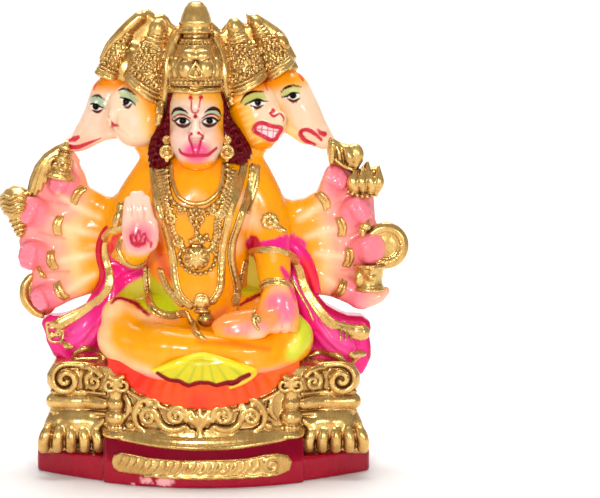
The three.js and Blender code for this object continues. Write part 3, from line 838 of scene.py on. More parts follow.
def flesh():
    """Trunk, shoulders, all ten arms with their hands, and the upturned foot."""
    clay = Clay((-108, -52, -4), (108, 32, 120), 0.6)
    clay.press(limb(TORSO, flat=0.86))
    clay.press([egg((-15, -17, 80), (13, 8, 12)), egg((9, -17, 80), (13, 8, 12))], 7)
    clay.press([egg((-2, -12, 38), (17, 12, 20))], 8)
    clay.press([slab(LEFT_WING, -1.5, 8.5, 4), slab(RIGHT_WING, -1.5, 8.5, 4)], 2)
    for arm in FANNED_ARMS:
        clay.press(fanned_arm(*arm), 2.6)
    for arm in FANNED_ARMS:
        clay.press(curled_hand(*arm[1:]), 3)
    clay.cut([slab(LEFT_GAP, -30, 30, 1), slab(RIGHT_GAP, -30, 30, 1)], 2)
    clay.press([egg((90, -4, 59.5), (7.4, 4.6, 8))], 3)
    clay.press(limb([[75, -1, 38, 5.4], [84, -3.4, 32.6, 5], [92, -5, 32.8, 3.8], [97, -4, 36, 2.6]]), 3)
    clay.press(limb([[-28.6, -1, 97, 10], [-35.4, -3, 85.6, 10.6], [-39.6, -5, 76, 10.6],
                     [-41.6, -12, 62, 9.4]]), 5)
    clay.press(limb([[26.4, -1, 97.4, 10], [31.4, -3, 86, 10.6], [34.6, -6, 74, 11],
                     [36.4, -14, 58, 9.8]]), 5)
    for hand, wide in ((-1, 0), (1, 4.6)):
        neck = [[HEAD_X + hand * 15.5, 2, 96, 14.5], [HEAD_X + hand * (20.4 + wide), 0, 105, 9.6],
                [HEAD_X + hand * (23 + wide), -1, 111, 8], [HEAD_X + hand * (27 + wide), -2, 119, 9]]
        clay.press(limb(neck), 4)
    clay.press(limb([[HEAD_X, -6, 94, 14], [HEAD_X, -8, 112, 12]]), 5)
    clay.press(limb([[-41, -14, 61.4, 8.8], [-38, -27, 60.6, 8.4], [-35.4, -33.5, 62.4, 7.8],
                     [-33, -38, 65, 6.6]]), 2)
    raised_hand(clay)
    clay.press(limb([[36.6, -15, 57, 9.6], [36.8, -24.4, 49.4, 8.8], [37.6, -30.6, 43.4, 7.6],
                     [38.8, -34.6, 39, 7]]), 2)
    resting_hand(clay)
    clay.press(limb([[34, -34, 25.5, 6.6], [24, -37.5, 25.4, 6.4], [14, -39, 24.6, 5.4], [8, -39.6, 22.6, 4]],
                    flat=0.85), 3)
    clay.press(limb([[29, -40, 21, 4.6], [18, -41.6, 19.6, 4.2], [11, -41, 19.4, 3]], flat=0.8), 2.5)
    for k in range(4):
        toe = [[11, -41, 17.8 + 2.4 * k, 1.8], [6.4 + 0.6 * k, -41, 18.4 + 2.4 * k, 1.5]]
        clay.press(limb(toe), 1.4)
    return clay


def raised_hand(clay):
    """The open palm with its four fingers together and the thumb beside them."""
    clay.press(limb([[-33, -39, 65, 6.6], [-33, -42.6, 70.6, 8.8], [-33.4, -42.6, 78.6, 8.2]], flat=0.55), 2)
    tips = [(-38.6, 88.6), (-35.6, 91.6), (-32.3, 91.8), (-29.4, 89.4)]
    for i, (x, z) in enumerate(tips):
        root_x = -38.8 + 3.6 * i
        clay.press(limb([[root_x, -43.4, 76, 2.7], [along([root_x], [x], 0.55)[0], -44.4, 83.4, 2.6],
                         [x, -43, z, 2.1]]), 1.3)
    clay.press(limb([[-27.6, -42.5, 66.5, 4.0], [-26, -44.4, 71, 3.2], [-26, -44.6, 77, 2.5]]), 1.6)
    clay.press([egg((-35, -46.2, 69), (3.2, 2, 5))], 2.5)


def resting_hand(clay):
    """The hand that lies over the knee, fingers down."""
    clay.press(limb([[39.2, -35.4, 39.6, 7.2], [40, -38.6, 35, 8.6], [40.4, -39.4, 30, 8.4]], flat=0.62), 2)
    for i in range(4):
        x = 34.2 + 4.1 * i
        spread = i - 1.5
        clay.press(limb([[x, -41.6, 31, 2.7], [x + 0.2 * spread, -41.8, 26, 2.6],
                         [x + 0.5 * spread, -39.6, 22.2 + 0.4 * i, 2.3],
                         [x + 0.6 * spread, -35.6, 20.6, 2.2]]), 1.8)
    clay.press(limb([[33.4, -37.6, 38, 3.4], [31.4, -40, 33, 3.0], [31, -41.6, 28.4, 2.4]]), 2)


def flesh_colours(points, normals):
    coat = Coat(points, normals, ORANGE)
    x, z = points[:, 0], points[:, 2]
    trunk = fade(np.abs(x - HEAD_X), 33, 24) * fade(points[:, 1], -24, -16)
    coat.mix(DEEP_ORANGE, 0.5 * trunk * fade(z, 56, 46))
    coat.mix(DEEP_ORANGE, 0.5 * fade(z, 98, 106) * fade(np.abs(x - HEAD_X), 16, 10))
    for colour, strength, far, near in (((255, 212, 150), 0.85, 33, 21), ((252, 172, 152), 0.85, 24, 14),
                                        (PINK, 0.95, 15, 5)):
        for _, _, hand, _ in FANNED_ARMS:
            reach = np.hypot(x - hand[0], z - hand[1])
            coat.mix(colour, strength * fade(reach, far, near) * fade(np.abs(x), 56, 70))
    coat.spray((255, 196, 168), (92, -5, 31), 2, 12, 0.8)
    shaded_gaps = [[(-84, 84.5), (-72, 82)], [(-88, 67.5), (-74, 64)], [(-86, 46), (-72, 46.5)],
            [(80, 88), (70, 82)], [(88, 69), (74, 65)], [(88, 48), (74, 47)]]
    ridge_highlights = [[(-77, 88), (-66, 80.5), (-56, 76)], [(-74, 70.5), (-64, 68.4), (-57, 66.6)],
              [(-76, 52.6), (-66, 54.6), (-59, 56)], [(-72, 36.6), (-64, 42), (-58.6, 45)],
              [(64, 83), (56, 78), (51, 75)], [(70, 69.6), (62, 67.6), (55, 65.6)],
              [(74, 54.6), (66, 55.6), (60, 56.4)], [(70, 39.4), (66, 43)]]
    # painted highlights: pale cream along the ridges of the fanned arms
    for line in ridge_highlights:
        coat.stroke((255, 226, 176), line, (1.6, 3.6, 1.6), soft=2.6)
    # painted shade: pinkish red in the gaps between the fanned arms
    for line in shaded_gaps:
        coat.stroke((236, 110, 110), line, (0.6, 2.4, 0.6), soft=1.4)
    # painted highlights: pale peach on both sides of the trunk
    for centre, inner, outer, strength in (((-27, -20, 74), 2, 10, 0.7), ((-27, -18, 60), 2, 9, 0.6),
                                           ((24, -20, 86), 2, 10, 0.9), ((25, -19, 76), 3, 10, 0.95),
                                           ((20, -20, 62), 2, 9, 0.7)):
        coat.spray(PEACH_HIGHLIGHT, centre, inner, outer, strength)
    # painted shade: dark orange down the trunk's left side, beside the medallion
    coat.stroke((226, 92, 0), [(-27, 66), (-23, 60), (-21, 52), (-18, 46)], (5, 7, 5), soft=2.5)
    coat.stroke((236, 96, 110), [(-26.6, 84), (-25, 74), (-21.4, 64)], (0.6, 1.6, 0.6), soft=1)
    coat.patch((200, 206, 30), [(-32, 47.5), (-27.7, 46), (-22, 41), (-17, 35), (-12.5, 29), (-12.5, 20),
                                (-32, 20)], 1.2)
    # the shawl, where it crosses both arms
    coat.patch((236, 26, 66), [(-51.6, 61), (-47.6, 67.6), (-42, 69.6), (-41.4, 65.4), (-45.6, 62.6),
                               (-49.6, 56)], 0.5)
    coat.stroke((248, 36, 146), [(25, 63.2), (31, 62.8), (38, 63.4), (44, 63.2), (50, 60)],
                (5.6, 4.4, 6.4, 9, 10), soft=0.5)
    coat.patch((196, 4, 60), [(22.1, 61.6), (24.6, 67.4), (28, 67.4), (30.4, 63.4), (26, 59.4), (27.6, 54),
                              (24.4, 57.8)], 0.5)
    coat.stroke((246, 40, 130), [(40.6, 52.4), (44.6, 46), (48, 38)], (2, 4, 4), soft=0.5)
    # hands and foot
    coat.spray((255, 204, 180), (-33, -43, 78), 15, 20, 1.0)
    coat.spray((248, 120, 150), (-32.4, -46, 70.6), 3, 12, 1.0)
    coat.stroke(CRIMSON, [(-37.2, 70.6), (-36.4, 67.4), (-33.4, 65.8), (-30.4, 67), (-29.4, 69.8)], 1.8)
    for lean, tall in ((-2.4, 3.6), (0, 4.8), (2.4, 3.6)):
        petal = [(-33.2, 66.8), (-34.5 + lean, 66.8 + 0.6 * tall), (-33.2 + 1.2 * lean, 66.8 + 1.5 * tall),
                 (-31.9 + lean, 66.8 + 0.6 * tall), (-33.2, 66.8)]
        coat.stroke(CRIMSON, petal, 1.3)
    coat.stroke(CRIMSON, [(-28.6, 68.8), (-26.8, 67.4), (-27, 65.2)], 1.3)
    for x_line in (-36.2, -33.1, -30.0):
        coat.stroke((238, 160, 148), [(x_line - 0.6, 86), (x_line, 76)], 0.8, soft=0.5)
    coat.spray((255, 186, 140), (39, -42, 41), 3, 8, 0.8)
    coat.spray((248, 118, 146), (39.6, -43, 32.4), 6, 12, 1.0)
    coat.spray((255, 206, 184), (41, -41, 20.4), 3, 9, 0.9)
    for x_line in (36.2, 40.3, 44.4):
        coat.stroke((240, 140, 150), [(x_line, 30), (x_line + 0.3 * (x_line - 40), 23)], 0.8, soft=0.6)
    coat.stroke((255, 150, 70), [(34, 28), (22, 27.6), (8, 25)], (10, 12, 8), soft=3)
    coat.stroke((252, 150, 140), [(31, 22.6), (22, 22), (12, 21)], (6, 7, 3), soft=2.4)
    coat.spray((255, 206, 176), (27, -42, 19), 1, 7, 0.8)
    return coat.colours


# Legs, cloth and shawl

def dhoti():
    """The folded legs in their tight dhoti, with the pleated end fanned in front."""
    clay = Clay((-72, -56, -26), (72, 30, 44), 0.6)
    clay.press(limb([[-30, 0, 15, 18], [-1, 2, 16, 24], [30, 0, 15, 18]]))
    clay.press(limb([[-18, -6, 22, 16], [-34, -18, 18, 15], [-43, -24, 15, 12.6]]), 4)
    clay.press(limb([[18, -6, 24, 16], [33, -16, 22, 14.6], [45.6, -22, 14, 12.4]]), 4)
    clay.press(limb([[-44, -20, 25.6, 9.8], [-34, -20, 22.4, 9.8], [-20, -16, 18, 10]]), 3)
    clay.press(limb([[45, -24, 11, 10.6], [8, -30, 6, 9]]), 3)
    clay.press(limb([[-42.4, -25, 13, 12.4], [-26, -34, 11, 12.6], [-2, -38, 10, 10.5],
                     [25, -35, 8.5, 9.5], [42, -27, 8.5, 8.5]]), 3)
    clay.press(limb([[-40, -28, 5, 5.4], [-32, -36.4, 2.4, 5], [-22, -42, -0.4, 4.6], [-8, -45, 0, 4]]), 3)
    clay.press(limb([[44, -29, 5, 5], [34, -37.6, 2.8, 4.2], [20, -42.6, 2, 4]]), 3)
    return clay


def dhoti_colours(points, normals):
    coat = Coat(points, normals, (255, 168, 0))
    z = points[:, 2]
    coat.stroke((255, 206, 150), [(-44, 34), (-52.5, 25), (-52, 11), (-43, 3), (-30, -1.6)], (9, 9, 8),
                soft=3.5)
    coat.stroke((255, 196, 140), [(-40, 31), (-28, 26.4), (-14, 25)], (2, 5, 3), soft=2.4)
    coat.stroke((250, 160, 150), [(-34, -1.4), (-24, -3.4), (-12, -2.6)], (2, 6, 3), soft=2)
    coat.stroke((252, 166, 140), [(18, -1), (30, -1.2), (46, 0.6)], (3, 4.4, 3), soft=1.8)
    coat.mix(DEEP_ORANGE, 0.5 * fade(np.abs(points[:, 0]), 34, 10) * fade(z, 20, 26))
    coat.stroke(DEEP_ORANGE, [(-2, 15.6), (16, 14.6), (34, 11)], (1, 3, 1), soft=2)
    coat.patch((202, 214, 24), [(-47, 36.6), (-43.4, 36.8), (-37.2, 34.6), (-28.7, 28.8), (-22, 26.4),
                                (-10, 26.6), (-10, 48), (-47, 48)], 0.8)
    coat.stroke((214, 214, 34), [(16, 40), (22, 42), (28, 38)], (8, 12, 6), soft=1.4)
    coat.stroke((214, 222, 50), [(47.6, 36), (53, 25), (52, 15), (46.6, 8)], (8, 9, 10, 8), soft=2.4)
    coat.stroke((255, 236, 90), [(49.4, 16), (46.6, 11)], (2, 4), soft=2)
    coat.stroke((172, 10, 24), [(-48.4, 32.6), (-46, 34.8), (-43, 35.4), (-36.6, 33), (-28.6, 27.2)],
                (0.9, 1.8, 2.2, 2.3, 1.9))
    coat.stroke((172, 10, 24), [(19, 31.2), (24.4, 34.4), (29.6, 36.6)], (1.2, 2.2, 1.6))
    return coat.colours


FAN_HEM = [(-23.6, -0.4), (-20, -2.6), (-16.7, -3.9), (-12.6, -4.2), (-10, -5.6), (-7, -6.4), (-4, -5.2),
           (-1.6, -4.8), (2.9, -5), (6.3, -6.2), (9, -5.8), (12.4, -5), (16.2, -4.8), (19.4, -2.8),
           (23.4, -1.2)]


def pleat_fan():
    """The gathered end of the dhoti, fanned over the shins down to its wavy hem."""
    clay = Clay((-34, -58, -14), (36, -30, 18), 0.42)
    for x, z in evenly(path(FAN_HEM, 4), 2.4):
        front = cloth_face(x)
        clay.press(limb([[0.1 * x - 1, -47.6, 8.8, 1.2], [0.62 * x, -49.6, 5.4 + 0.3 * z, 2.0],
                         [x, front - 2.4, z + 0.8, 2.2]]), 0.8)
    ridge = [[-25.6, -44.6, 0.6, 1.3], [-14, -48.2, 5.4, 1.3], [-1.4, -49.2, 9.8, 1.3],
             [12.6, -48.4, 5.8, 1.3], [26.6, -44.6, 0.8, 1.3], [22, -46.8, -4.2, 1.4], [14, -49.4, -7.2, 1.2]]
    clay.press(limb(ridge), 1.2)
    return clay


def pleat_fan_colours(points, normals):
    coat = Coat(points, normals, (222, 208, 20))
    x, z = points[:, 0], points[:, 2]
    angle = np.arctan2(x - 0.6, 16 - z)
    coat.mix((170, 182, 10), 0.6 * fade(np.sin(angle * 21), -0.4, -1.0) * fade(z, 8, 2))
    coat.stroke((250, 226, 40), [(-26, 0.4), (-14, 5.4), (-1.4, 9.8), (12.6, 5.8), (27, 0.6)],
                (2.6, 2.4, 2.6, 2.4, 3), soft=0.8)
    coat.stroke((255, 196, 40), [(27, 0), (22, -4.6), (13, -7.6)], (3, 2.4, 1.6), soft=0.6)
    coat.stroke((136, 0, 20), FAN_HEM, (2.2, 2.6, 2.8, 2.4, 3.0, 2.6), steps=4)
    return coat.colours


def bow(x):
    """The depth of the plinth's bowed front at x."""
    return BACK - PLINTH_DEPTH + PLINTH_BOW * (2 * x / PLINTH_LENGTH) ** 2


CLOTH_HALF, CLOTH_DROP, CLOTH_THICK, CLOTH_ROUNDING = 50.5, 19.0, 9.0, 1.5
CLOTH_SETBACK, CLOTH_SWEEP = 4.0, 15.2


def cloth_face(x):
    """The depth of the seat cloth's front at x."""
    return bow(0) + CLOTH_SETBACK + CLOTH_SWEEP * (x / CLOTH_HALF) ** 2


def hem_height(x, drop, half):
    """The height at x of a hem that hangs from the seat in a round sweep."""
    return SEAT - drop * (1 - (x / half) ** 2) ** 0.8


def seat_cloth():
    """The orange cloth that hangs over the front of the seat."""
    clay = Clay((-54, -52, 36), (54, -16, 68), 0.5)
    half, face = CLOTH_HALF, cloth_face(0)
    across = np.linspace(-half, half, 41)
    hem = hem_height(across, CLOTH_DROP, half)
    outline = [*zip(across, hem), (half, SEAT + 5), (-half, SEAT + 5)]

    def distance(x, y, z):
        edge = outline_distance(outline, x, z) + CLOTH_ROUNDING
        deep = np.abs(y - cloth_face(x) - CLOTH_THICK / 2) - CLOTH_THICK / 2 + CLOTH_ROUNDING
        return edged(edge, deep) - CLOTH_ROUNDING

    clay.press([((-half, face, 38), (half, face + 26, 66), distance)])
    for x in np.arange(-33, 34, 6.0):
        foot_z = hem_height(x, CLOTH_DROP, half)
        y = cloth_face(x)
        clay.press(limb([[0.82 * x, y + 0.9, SEAT - 4, 0.8], [0.93 * x, y + 0.8, (SEAT + foot_z) / 2, 1.4],
                         [x, y + 1.2, foot_z + 1.6, 2.0]]), 3)
    return clay


def seat_cloth_colours(points, normals):
    coat = Coat(points, normals, (255, 78, 8))
    x = points[:, 0]
    coat.mix((252, 40, 22), 0.9 * fade(x, -18, -34))
    coat.mix((255, 104, 10), 0.9 * fade(x, 24, 40))
    coat.spray((232, 40, 10), (-3, -47, 44), 2, 8, 0.6)
    return coat.colours


LEFT_SEAM = [(-45, 73.4), (-52.1, 69.6), (-55.4, 63.6), (-56.5, 58.1), (-56.3, 52.6), (-54.9, 47.2),
             (-55.5, 41.7), (-58.3, 36.7)]


def shawl():
    """The pink shawl behind both elbows, flaring over the ends of the throne."""
    clay = Clay((-95, -22, -14), (95, 18, 78), 0.6)
    left = [(-40, 74), (-45, 73.6), (-52.3, 70), (-55.6, 64), (-56.8, 58), (-56.4, 52.6), (-55.4, 47),
            (-56, 41.5), (-58.6, 36.5), (-63.7, 28), (-70, 24.5), (-76.3, 22.6), (-82.8, 22.4),
            (-86.3, 20.4), (-86.9, 18), (-84.8, 12.6), (-84.4, 9), (-80.6, 1), (-75, -3), (-60, -3),
            (-20, -3), (-14, 20), (-14, 60), (-20, 74)]
    right = [(24, 66), (30, 66), (40, 65.5), (44.9, 67), (49, 65.2), (52.3, 60), (55.6, 56.4), (58, 51.3),
             (60.2, 46.3), (61, 41), (60.4, 36.4), (62.4, 32.2), (66, 28.4), (72, 25), (77.4, 22.8),
             (85, 22.4), (89.2, 19.4), (89.9, 15.8), (89, 11.9), (90, 5.8), (90, 0.3), (87.8, -5),
             (85.4, -9), (81.4, -10), (77.5, -5), (66, -4), (50, -3), (16, -3), (10, 20), (10, 60), (16, 70)]
    clay.press([slab(left, -6, 12, 3.5), slab(right, -6, 12, 3.5)])
    clay.press(limb([[-48, -4, 44, 5], [-52, -6, 26, 7], [-66, -7, 10, 8]]), 4)
    clay.press(limb([[48, -4, 44, 5], [56, -6, 26, 7], [74, -7, 6, 8]]), 4)
    clay.press(limb([[-45, -7.4, 73.4, 1.4], [-51.4, -7.4, 70, 1.6], [-54.8, -7.4, 64, 1.7],
                     [-55.8, -7.4, 58, 1.7], [-55.2, -7.4, 52.4, 1.7], [-53.8, -7.4, 47, 1.7],
                     [-54.8, -7, 41, 1.7], [-57.6, -6.4, 36, 1.7]]), 1)
    clay.press(limb([[43, -11, 63.4, 3.4], [48.4, -10, 60, 4.2], [52.6, -9, 54.6, 4.4], [55.6, -8, 48.8, 4.2],
                     [58, -7.4, 42.4, 3.6], [60, -6, 36.6, 2.6]]), 1.5)
    folds = [[(-76, 13), (-66, 16), (-59, 24), (-53, 36)], [(-72, 5), (-63, 10), (-57, 18)],
             [(-46, 42), (-40, 45), (-33, 48)], [(80, 7), (70, 12), (62, 22)], [(78, 0), (68, 6), (60, 15)],
             [(52, 50), (55, 42), (58, 33)]]
    for fold in folds:
        clay.cut(cord(laid([clay], fold, 0.4), (0.6, 1.5, 0.7), 1), 2)
    return clay


def shawl_colours(points, normals):
    coat = Coat(points, normals, (246, 28, 140))
    # painted highlights: lighter pink on the shawl
    for centre, reach in (((-66, -12, 16), 14), ((-38, -12, 46), 7), ((72, -12, 10), 16), ((40, -8, 62), 8)):
        coat.spray((255, 104, 186), centre, 1, reach, 0.55)
    coat.patch((206, 206, 40), [(-48, 31), (-46, 34.5), (-40, 40), (-31.5, 44.6), (-24, 46), (-24, 18),
                                (-48, 18)], 0.6)
    coat.patch((216, 196, 24), [(18, 57), (31, 56), (37, 50), (40, 40), (40, 20), (18, 20)], 1.2)
    coat.stroke((206, 6, 44), LEFT_SEAM, (3, 5, 4), soft=0.6)
    coat.stroke((250, 36, 62), [(52.6, 55), (56, 49), (58.6, 42), (60.6, 36)], (3, 7, 6, 3), soft=2)
    coat.stroke((206, 6, 84), [(-86.4, 18), (-84.6, 10), (-79.7, 2), (-70, -2)], 2.2, soft=0.8)
    coat.stroke((206, 6, 84), [(60, 34), (66, 27), (76, 22), (87, 20), (89.6, 12), (89.4, 0)], 3.0, soft=1.0)
    return coat.colours


# Throne and plinth

def board(length, setback, foot, top, bevel=0.0, rounding=1.0):
    """A board with the plinth's bowed front; bevel draws the upper half of its front back."""
    middle, half = (foot + top) / 2, (top - foot) / 2

    def distance(x, y, z):
        slope = bevel * np.clip((z - middle) / half, 0, 1)
        front = (bow(x) + setback + slope - y) * 0.88
        sides = [
            np.abs(x) - length / 2, front, y - BACK, np.abs(z - middle) - half,
        ]
        sides = [side + rounding for side in np.broadcast_arrays(*sides)]
        outer = np.sqrt(sum(np.maximum(side, 0) ** 2 for side in sides))
        return outer + np.minimum(np.max(sides, axis=0), 0) - rounding

    low = np.array([-length / 2, bow(0) + setback, foot])
    return low, np.array([length / 2, BACK, top]), distance


BLOCK_LENGTH, BLOCK_HEIGHT, BLOCK_PROUD = 105.0, 24.0, 3.0
STEP_HEIGHT = 13.0
APRON_SETBACK = 7.0
THRONE_LENGTH, LEG_LENGTH = 160.0, 28.0


def plinth():
    """Low ends and a high middle section with a sloping top edge."""
    clay = Clay((-92, -56, -2), (92, 38, 27), 0.6)
    clay.press([board(PLINTH_LENGTH, 0, 0, STEP_HEIGHT, rounding=1.6)])
    clay.press([board(BLOCK_LENGTH, -BLOCK_PROUD, 0, BLOCK_HEIGHT, bevel=6, rounding=1.2)], 1)
    return clay


def chip_share(points):
    """Where the paint has chipped off the foot of the plinth, down to the plaster."""
    x, z = points[:, 0], points[:, 2]
    ragged = 0.9 * np.sin(2.3 * x + 1.1 * z) + 0.7 * np.sin(4.1 * z - 1.7 * x)
    chips = [(-29.6, 3.4, 2.9, 1.9), (-20.4, 3.2, 4.4, 2.4), (-36.5, 1.0, 1.4, 0.9), (-81, 12.4, 4, 0.7)]
    share = np.zeros(len(points))
    for cx, cz, wide, high in chips:
        gap = np.hypot((x - cx) / wide, (z - cz) / high) + 0.16 * ragged
        share = np.maximum(share, fade(gap, 1.05, 0.85))
    return share * (points[:, 1] < 0)


def plinth_colours(points, normals):
    coat = Coat(points, normals, (164, 0, 38))
    x, z = points[:, 0], points[:, 2]
    upper = fade(z, 11, 16) * (np.abs(x) < BLOCK_LENGTH / 2 + 1)
    coat.mix((112, 0, 30), 0.7 * upper)
    coat.mix((150, 0, 30), 0.6 * fade(np.abs(x), 60, 84))
    coat.mix((244, 176, 184), chip_share(points))
    return coat.colours


def plaque():
    """The gold band on the front, with a row of slanting strokes, a seal and a raised edge."""
    clay = Clay((-52, -58, 2), (50, -28, 20), 0.4)
    proud = BLOCK_PROUD + 1.6
    outline = [(-48, 11.4), (-47, 15.4), (-43, 17.4), (-36, 16.8), (-28, 15.6), (-12, 15.0), (6, 15.4),
               (22, 15.6), (32, 17.2), (38, 17.4), (44, 15.8), (46.4, 12), (45, 7.4), (40, 5.6), (20, 4.8),
               (0, 4.6), (-20, 4.8), (-32, 6.2), (-44, 6.8), (-47, 8.6)]

    def distance(x, y, z):
        edge = outline_distance(outline, x, z) + 1.4
        deep = np.abs(y - bow(x) + proud - 1.4) - 1.4 + 1.2
        return edged(edge, deep) - 1.3

    clay.press([((-49, -56, 3), (48, -32, 19), distance)])

    def on_face(u, v):
        return np.column_stack([u, bow(np.array(u)) - proud + 0.1, v])

    rng = np.random.default_rng(4)
    for i, middle in enumerate(np.linspace(-43, 27, 19)):
        half = rng.uniform(1.4, 2.6)
        slant = np.array([middle - 0.5 * half, middle + 0.9, middle + 0.5 * half])
        level = 11 + rng.uniform(-0.6, 0.6) + (1.4 if abs(middle + 40) < 6 else 0)
        clay.press(cord(on_face(slant, level + half * np.array([-1, 0, 1])), (0.5, 1.0, 0.5)), 1)
        if i % 3 == 1:
            clay.press([egg(on_face([middle + 1.9], [level - 2.8])[0], 0.9)], 0.8)
    seal = spiral((35.4, 11.4), 4.6, 1.3, 60, 1, 0.2, 24)
    clay.press(cord(on_face(seal[:, 0], seal[:, 1]), (1.3, 0.7), 1), 1)
    edge = np.linspace(-30, 38, 50)
    clay.press(cord(on_face(edge, 6.2 + 0.3 * np.sin(edge * 0.9)), 0.7, 1), 1)
    return clay


def lion_leg(clay, hand):
    """Scrolled shoulder, rolled band and a paw of five toes at one end of the throne."""
    outer, inner = THRONE_LENGTH / 2, THRONE_LENGTH / 2 - LEG_LENGTH
    middle = (outer + inner) / 2
    face = bow(middle) + APRON_SETBACK
    outline = [(inner, 11), (outer + 4, 11), (outer + 7, 20), (outer + 4, 29), (outer, 37),
               (outer, 44), (outer + 3, 49), (outer + 3, 54), (outer - 0.6, 60), (inner, 60)]
    clay.press([slab([(hand * x, z) for x, z in outline], face, BACK, 3)], 1)

    def at(x, depth, z, *radius):
        return (hand * x, face + depth, z, *radius)

    # Shoulder: a pad under the scroll, which winds out of the throne's top edge
    clay.press([egg(at(72.5, 1, 52), (9.2, 4.2, 9))], 2)
    curl = spiral((72.5, 52), 8.2, 1.7, 100, -1, 0.1, 30)
    lead = np.array([[55.5, 58.6], [61, 59.6], [67, 60.0]])
    line = np.vstack([lead, curl])
    rise = np.interp(np.linspace(0, 1, len(line)), [0, 0.3, 1], [-1.4, -3.4, -5.2])
    clay.press(cord(np.column_stack([hand * line[:, 0], face + rise, line[:, 1]]), (1.6, 2.0, 1.1), 2), 0.8)
    clay.press([egg(at(58, -0.5, 51.5), (4.6, 3.4, 5.2), lean=hand * 14)], 1.5)
    clay.press(limb([at(54, -1.5, 57.4, 1.2), at(60, -2.5, 56, 1.5), at(62.4, -2.4, 51, 1.2),
                     at(61, -2, 46.5, 1.1)]), 0.8)
    # Band between shoulder and paw
    clay.press(limb([at(inner + 2, 0.5, 40.2, 4.3), at(middle, -1.6, 40, 4.5),
                     at(outer - 1, 0.5, 40, 4.5)]), 0.8)
    for height in (45.3, 34.9):
        clay.press(limb([at(inner + 1, -1, height, 1.2), at(middle, -3.2, height, 1.3),
                         at(outer, -0.8, height, 1.2)]), 0.6)
    # Paw: five toes under a swelling, on the low end of the plinth
    clay.press([egg(at(middle, 0, 27.4), (16, 8.4, 9))], 3)
    clay.press([egg(at(middle - 1, -2.6, 30), (11, 5, 4))], 4)
    for i, x in enumerate(np.linspace(inner + 3.4, outer + 4.2, 5)):
        spread = (i - 2) * 1.1
        clay.press(limb([at(x - 1.4 * spread, -4.6, 27.6, 2.0), at(x - 0.6 * spread, -7.4, 24.4, 2.9),
                         at(x, -8, 20, 3.1), at(x, -6.4, 16.4, 3.2)]), 1.6)
    clay.press(limb([at(inner - 0.5, 0, 33, 1.4), at(inner + 3.5, -3.5, 27, 2.0),
                     at(inner + 1.6, -3.4, 21, 1.6)]), 1)


def scroll_post(clay, hand):
    """The curled and banded post at one end of the apron."""
    x = hand * 45.5
    face = bow(45.5) + APRON_SETBACK
    profile = [(0, 0), (6.6, 0.3), (6.8, 1.8), (4.2, 4.4), (4.0, 7), (5.6, 8.6), (6.2, 11), (5.6, 13.2),
               (3.8, 14.6), (4.8, 16.6), (5.0, 19), (3.6, 21), (4.4, 25), (5.4, 30), (0, 33)]
    clay.press([turned(profile, (x, face, 23))], 0.8)
    for side in (-1, 1):
        curl = spiral((x + side * 3.4, 51.5), 4.3, 1.4, 90, side, 0.15, 22)
        clay.press(cord(np.column_stack([curl[:, 0], np.full(len(curl), face - 4.6), curl[:, 1]]), (1.3, 0.9),
                        1), 0.5)
    for k in range(5):
        angle = math.radians(-60 + 30 * k)
        clay.press([egg((x + 4.2 * math.sin(angle), face - 4.2 * math.cos(angle), 28.6),
                        (1.2, 1.2, 1.6))], 0.5)


